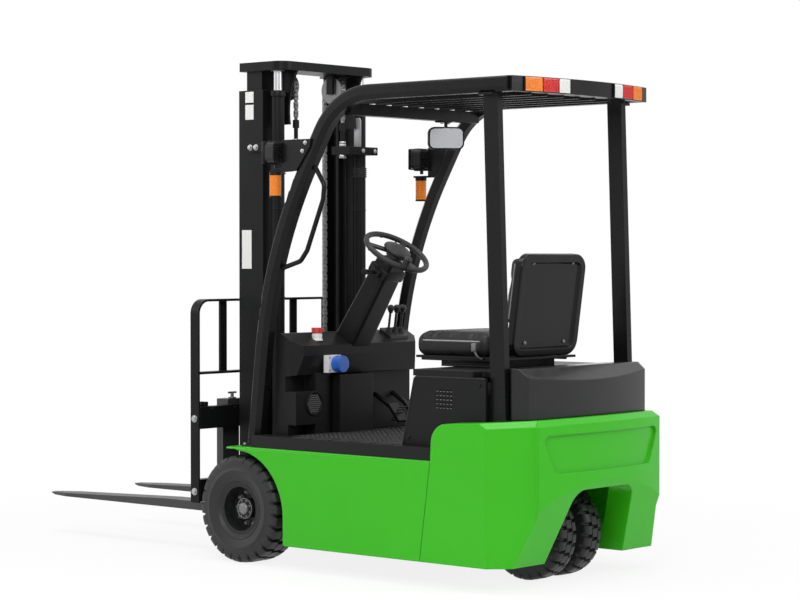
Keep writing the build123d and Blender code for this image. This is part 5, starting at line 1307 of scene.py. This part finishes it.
@dataclass
class GuardFittings(Assembly):
    """Lamp guards, lens ribs, flanges and bolts of the overhead guard."""

    lamp: Point = (-180.0, 470.0, 1728.0)
    wire: Profile = ((-20, 46), (30, 50), (45, 40), (45, -40), (30, -46))
    signal: tuple[float, float] = (-176.0, 470.0)
    signal_low: float = 1542.0
    signal_high: float = 1646.0
    top_cap: Profile = ((25.5, 0), (25.5, -12), (22, -16), (0, -16), (0, 0), (25.5, 0))
    low_cap: Profile = ((25, -1), (25, 6), (0, 6), (0, -1), (25, -1))
    mirror: Point = (-548.0, -196.0, 1868.0)
    beam_half: float = 450.0
    lens_face: float = -1472.0
    beam_bow: float = 55.0
    lenses: tuple[tuple[str, float, float], ...] = (
        ("amber_lens", 390.0, 301.0), ("red_lens", 301.0, 214.0), ("white_lens", 214.0, 149.0),
    )
    foot_z: float = 500.0

    def build(self) -> None:
        """Make what is fixed to the guard."""
        self.work_lamps()
        self.signals()
        self.tail_ribs()
        self.bolts()

    def work_lamps(self) -> None:
        """Add lens ribs, a bezel, a wire guard, a stem and cooling fins to each work lamp."""
        lens, wires = Form(), Form()
        x, _, z = self.lamp
        for side in SIDES:
            y = side * self.lamp[1]
            for index in range(6):
                across = y + (index - 2.5) * 12.0
                lens.block((x + 35, across - 4.5, z - 33), (x + 38, across + 4.5, z + 33), 1.2)
            for edge in (-44.0, 44.0):
                wires.block((x + 22, y - 45, z + edge - 3), (x + 39, y + 45, z + edge + 3), 2)
            for edge in (-45.0, 45.0):
                wires.block((x + 22, y + edge - 3, z - 45), (x + 39, y + edge + 3, z + 45), 2)
            for across in (-16.0, 16.0):
                wires.tube([(x + ahead, y + across, z + high) for ahead, high in self.wire], 1.8, 3)
            wires.rod((x, y, z - 44), (x, y, z - 66), 8, sides=6, bevel=1)
            for index in range(7):
                level = z - 33 + 11.0 * index
                wires.block((x - 39, y - 34, level - 2.2), (x - 25, y + 34, level + 2.2), 1.2)
        self.piece(lens, "work_lamp_ribs", "white_lens", "chassis")
        self.piece(wires, "work_lamp_guards", "lamp_black", "chassis", look="black_paint")

    def signals(self) -> None:
        """Add ribs to the amber signals and their black caps."""
        ribs, caps = Form(), Form()
        for side in SIDES:
            x, y = self.signal[0], side * self.signal[1]
            for index in range(9):
                ribs.ring((x, y, self.signal_low + 10 + index * 10.0), UP, 23.6, 1.6, 28, 8)
            caps.lathe(self.top_cap, (x, y, self.signal_high), UP, 28)
            caps.lathe(self.low_cap, (x, y, self.signal_low), UP, 28)
        self.piece(ribs, "signal_ribs", "amber_lens", "chassis")
        self.piece(caps, "signal_caps", "black_plastic", "chassis")

    def bowed(self, y: float) -> float:
        """Say where the tail lamps' face is on the bowed rear beam.

        Args:
            y: Distance from the truck's middle.

        Returns:
            The face's place along the truck.
        """
        return self.lens_face + self.beam_bow / self.beam_half**2 * y * y

    def tail_ribs(self) -> None:
        """Add upright ribs and end walls to the tail lamps."""
        for slot, outer, inner in self.lenses:
            form = Form()
            count = round((outer - inner) / 8.0)
            for side in SIDES:
                for index in range(count):
                    y = inner + (index + 0.5) * (outer - inner) / count
                    x = self.bowed(y)
                    form.block((x - 1.6, side * y - 2.6, 1938), (x + 2.5, side * y + 2.6, 1982), 1.0, 1)
            self.piece(form, f"tail_ribs_{slot}", slot, "chassis")
        walls = Form()
        for side in SIDES:
            for y in (392.0, 301.0, 214.0, 147.0):
                x = self.bowed(y)
                walls.block((x - 2.4, side * y - 1.6, 1932), (x + 6, side * y + 1.6, 1988), 0.8, 1)
        self.piece(walls, "tail_lamp_walls", "black_plastic", "chassis")

    def bolts(self) -> None:
        """Add the bolts of the lamp brackets, the mirror bracket, the legs' feet and the post plates."""
        form, flange = Form(), Form()
        foot = self.foot_z
        for side in SIDES:
            for x, z in ((-336.0, 1730.0), (-352.0, 1764.0)):
                form.bolt((x, side * 476, z), (0, side, 0), 7, 5)
            for x in (-1312.0, -1262.0):
                form.bolt((x, side * 404, 1920), DOWN, 7, 5)
            flange.block((-82, side * 441 - 40, foot - 8), (14, side * 441 + 40, foot), 3)
            for x in (-72.0, 4.0):
                for y in (411.0, 471.0):
                    form.bolt((x, side * y, foot), UP, 6, 5)
            flange.block((-1376, side * 411 - 14, 655), (-1284, side * 411 + 22, 664), 2)
        x, y, z = self.mirror
        flange.block((x - 8, y - 34, z), (x + 34, y + 34, z + 6), 2)
        for across in (-22.0, 22.0):
            form.bolt((x + 4, y + across, z), DOWN, 7, 5)
        self.piece(form, "guard_bolts", "chrome_rod", "chassis", look="bolt_zinc")
        self.piece(flange, "guard_flanges", "black_paint", "chassis")


@dataclass
class CabFittings(Assembly):
    """What the operator touches: wheel hub, column switches, dash fittings, levers, pedals and floor mat."""

    column_foot: Point = (-163.0, 0.0, 898.0)
    column_lean: float = 33.5
    wheel: Point = (-437.9, 0.0, 1313.3)
    wheel_radius: float = 140.0
    knob_turn: float = math.radians(150.0)
    dome: Profile = ((39, -6), (58, 2), (62, 8), (60, 14), (48, 20), (26, 24), (0, 25))
    knob: Profile = ((16.2, 38), (18, 40), (18.5, 45), (15, 50), (7, 53), (0, 53.5))
    speaker: Point = (-229.0, 291.0, 673.0)
    bezel: Profile = ((52, 0), (52, -4), (48, -6), (44, -4), (44, -1.5), (0, -1.5), (0, 0), (52, 0))
    socket: tuple[float, float] = (190.0, 839.0)
    socket_radius: float = 34.0
    stop: tuple[float, float] = (-190.0, 230.0)
    collar: Profile = ((25, -6), (25, 0), (22, 4), (22, 22), (20, 26), (14, 26), (14, -6), (25, -6))
    lever_y: tuple[float, ...] = (-319.0, -279.0, -239.0)
    pedals: Profile = ((-165.0, 60.0), (-285.0, 80.0))
    mat_top: float = 545.0
    stud_pitch: float = 27.0

    def build(self) -> None:
        """Make the cab's small parts."""
        self.steering()
        self.dash()
        self.levers()
        self.floor()

    def steering(self) -> None:
        """Add a hub dome, a cap on the knob and grip studs to the wheel, and switches to the column."""
        tilt = Matrix.Rotation(math.radians(-self.column_lean), 4, "Y")
        radius = self.wheel_radius
        hub = Form(Matrix.Translation(self.wheel) @ tilt)
        hub.lathe(self.dome, (0, 0, 0), UP, 48)
        hub.ring((0, 0, 15), UP, 57.0, 1.6, 48, 8)
        knob = (radius * math.cos(self.knob_turn), radius * math.sin(self.knob_turn))
        hub.lathe(self.knob, (*knob, 0.0), UP, 28)
        hub.ring((*knob, 17.0), UP, 16.4, 1.8, 28, 8)
        for spot in around(12, radius, 0.5):
            hub.rod((*spot, -11.0), (*spot, -15.0), 6.0, 4.0, 12)
        self.piece(hub, "steering_hub_cover", "grip_plastic", "steering_wheel")
        column = Form(Matrix.Translation(self.column_foot) @ tilt)
        column.block((-54, -66, 372), (54, 66, 424), 12, 3)
        column.rod((0, 0, 424), (0, 0, 446), 44, 34, 36, 3)
        for side in SIDES:
            column.block((-30, side * 72 - 10, 384), (22, side * 72 + 10, 414), 6, 3)
        column.rod((-4, 80, 399), (-10, 138, 404), 7.0, 9.0, 18, 2)
        column.rod((-10, 138, 404), (-14, 168, 407), 11.5, 12.5, 20, 3)
        self.piece(column, "column_switch_housing", "black_plastic", "chassis")

    def dash(self) -> None:
        """Add the round perforated grille, the socket's rings and screws, and the stop button's collar."""
        grille, holes, rings, screws, collar, rim = (Form() for _ in range(6))
        grille.lathe(self.bezel, self.speaker, AHEAD, 48)
        for row in range(-4, 5):
            for column in range(-4, 5):
                y, z = column * 9.6 + (4.8 if row % 2 else 0.0), row * 8.6
                if math.hypot(y, z) < 40.0:
                    y, z = self.speaker[1] + y, self.speaker[2] + z
                    holes.rod((-230.0, y, z), (-231.2, y, z), 3.1, sides=10)
        self.piece(grille, "speaker_grille", "black_plastic", "chassis")
        self.piece(holes, "speaker_holes", "black_plastic", "chassis", look="nut_steel")
        for x in (-272.0, -283.0, -294.0):
            rings.ring((x, *self.socket), AHEAD, self.socket_radius, 1.8, 40, 8)
        for across, high in around(16, self.socket_radius):
            y, z = self.socket[0] + across, self.socket[1] + high
            rings.rod((-305, y, z), (-296, y, z), 2.2, sides=8, bevel=0.6)
        self.piece(rings, "socket_rings", "socket_blue", "chassis")
        for z in (812.0, 866.0):
            for y in (232, 170):
                screws.bolt((-265, y, z), BACK, 4, 2.5)
        self.piece(screws, "socket_screws", "chrome_rod", "chassis", look="bolt_zinc")
        collar.lathe(self.collar, (*self.stop, 942), UP, 40)
        self.piece(collar, "stop_collar", "socket_white", "chassis", look="pale_label")
        rim.ring((*self.stop, 985), UP, 21.0, 3.4, 36, 10)
        self.piece(rim, "stop_button_rim", "stop_red", "chassis")

    def levers(self) -> None:
        """Add bellows under the hydraulic levers and collars under their knobs."""
        form = Form()
        for y in self.lever_y:
            for fold in range(4):
                spot = (-183 - fold, y, 957 + 7 * fold)
                form.ring(spot, (-0.14, 0.0, 1.0), 15.0 - 2.6 * fold, 4.0, 24, 8)
            form.rod((-195.5, y, 1046), (-197.5, y, 1056), 9, 12, 20, 1)
        self.piece(form, "lever_boots", "black_plastic", "chassis", look="mat_rubber")

    def floor(self) -> None:
        """Add the ribs of the pedal pads and the studs of the floor mat."""
        ribs, studs = Form(), Form()
        for y, width in self.pedals:
            ribs.place = Matrix.Translation((-300, y, 615)) @ Matrix.Rotation(math.radians(-40.0), 4, "Y")
            for index in range(6):
                z = -38 + 15.2 * index
                ribs.block((-9.5, 4 - width / 2, z - 3.5), (-6.5, width / 2 - 4, z + 3.5), 1.2)
        self.piece(ribs, "pedal_ribs", "mat_rubber", "chassis")
        for row in range(22):
            for column in range(-15, 16):
                x, y = -842 + self.stud_pitch * row, column * self.stud_pitch
                if x < -310 or not -60 < y < 178:
                    studs.rod((x, y, self.mat_top - 1), (x, y, self.mat_top + 2.5), 9.5, 6.5, 6)
        self.piece(studs, "mat_studs", "mat_rubber", "chassis")


@dataclass
class BodyTrim(Assembly):
    """Louvres, hems, tread ridges and fasteners of the bodywork."""

    cover_y: float = 452.0
    grille: tuple[float, float, float, float] = (-1122.0, -1035.0, 694.0, 776.0)
    louvres: int = 5
    sill_top: float = 545.0
    panel_y: float = 532.0
    panel_top: float = 491.0
    panel_line: tuple[float, ...] = (-64, -500, -1075)
    arch: tuple[float, float] = (-10.0, 212.0)
    arch_r: float = 272.0
    arch_feet: tuple[float, ...] = (150.0, 103.0)
    hem: float = 5.0
    lip: float = 4.0
    cover_line: Profile = (
        (-863, 546), (-880, 622), (-906, 740), (-918, 792), (-924, 818), (-950, 820), (-1100, 820),
        (-1284, 820),
    )
    screws: Profile = ((-895.0, 575.0), (-1255.0, 575.0), (-1255.0, 795.0))

    def build(self) -> None:
        """Make the trim."""
        self.side_grilles()
        self.hems()
        self.sills()
        self.fasteners()

    def side_grilles(self) -> None:
        """Add a square of small louvres to each battery side cover, with a near-black sheet in each opening
        as painted shade.
        """
        x0, x1, z0, z1 = self.grille
        lips, hole_shade_sheets = Form(), Form()
        for side in SIDES:
            shade_span = sorted((side * self.cover_y, side * (self.cover_y + 0.6)))
            lip = sorted((side * self.cover_y, side * (self.cover_y + 2.2)))
            for row in range(self.louvres):
                z = z0 + (row + 0.5) * (z1 - z0) / self.louvres
                for column in range(self.louvres):
                    x = x0 + (column + 0.5) * (x1 - x0) / self.louvres
                    # A thin near-black sheet in each opening stands in for the shade inside it: painted
                    # shade.
                    hole_shade_sheets.block((x - 4, shade_span[0], z - 2), (x + 4, shade_span[1], z + 4))
                    lips.block((x - 4.5, lip[0], z - 5), (x + 4.5, lip[1], z - 2), 0.8, 1)
        self.piece(hole_shade_sheets, "cover_vent_hole_shade", "black_plastic", "chassis", look="painted_hole_shade")
        self.piece(lips, "cover_vent_lips", "black_plastic", "chassis", look="nut_steel")

    def hems(self) -> None:
        """Add the rolled hems of the side panels and wheel arches, and the lip round each side cover."""
        panel, cover = Form(), Form()
        x, z = self.arch
        radius = self.arch_r
        arc = [math.radians(90.0 + 6.0 * step) for step in range(16)]
        for side in SIDES:
            y = side * self.panel_y
            panel.tube([(along, y, self.panel_top) for along in self.panel_line], self.hem)
            bend = [(x + radius * math.cos(a), y, z + radius * math.sin(a)) for a in arc]
            panel.tube([*bend, *((x - radius, y, low) for low in self.arch_feet)], self.hem)
            y = side * (self.cover_y - 1.0)
            cover.tube([(along, y, high) for along, high in self.cover_line], self.lip)
        self.piece(panel, "panel_hems", "green_paint", "chassis")
        self.piece(cover, "cover_lips", "black_plastic", "chassis", look="satin_cover")

    def sills(self) -> None:
        """Add raised tread ridges to the step sills."""
        form = Form()
        for side in SIDES:
            for index in range(4):
                y = side * (456.0 + 18.0 * index)
                for part in range(5):
                    x = -850.0 + 112.0 * part
                    form.block((x, y - 3, self.sill_top - 1), (x + 96, y + 3, self.sill_top + 2.5), 1.5)
        self.piece(form, "sill_ridges", "mat_rubber", "chassis")

    def fasteners(self) -> None:
        """Add the covers' screws."""
        form = Form()
        for side in SIDES:
            for x, z in self.screws:
                form.rod((x, side * self.cover_y, z), (x, side * (self.cover_y + 3), z), 8, 6.5, 20)
        self.piece(form, "cover_screws", "black_plastic", "chassis")


def main() -> None:
    """Build the picture: stage, finishes, then every assembly's pieces."""
    logging.basicConfig(level=logging.INFO, format="%(name)s: %(message)s")
    Stage().build()
    book = FinishBook()
    book.paint_nodes()
    for kind in (WheelSet, SeatSuite, MastFittings, CarriageFittings, GuardFittings, CabFittings, BodyTrim):
        kind(book).build()


if __name__ == "__main__":
    main()
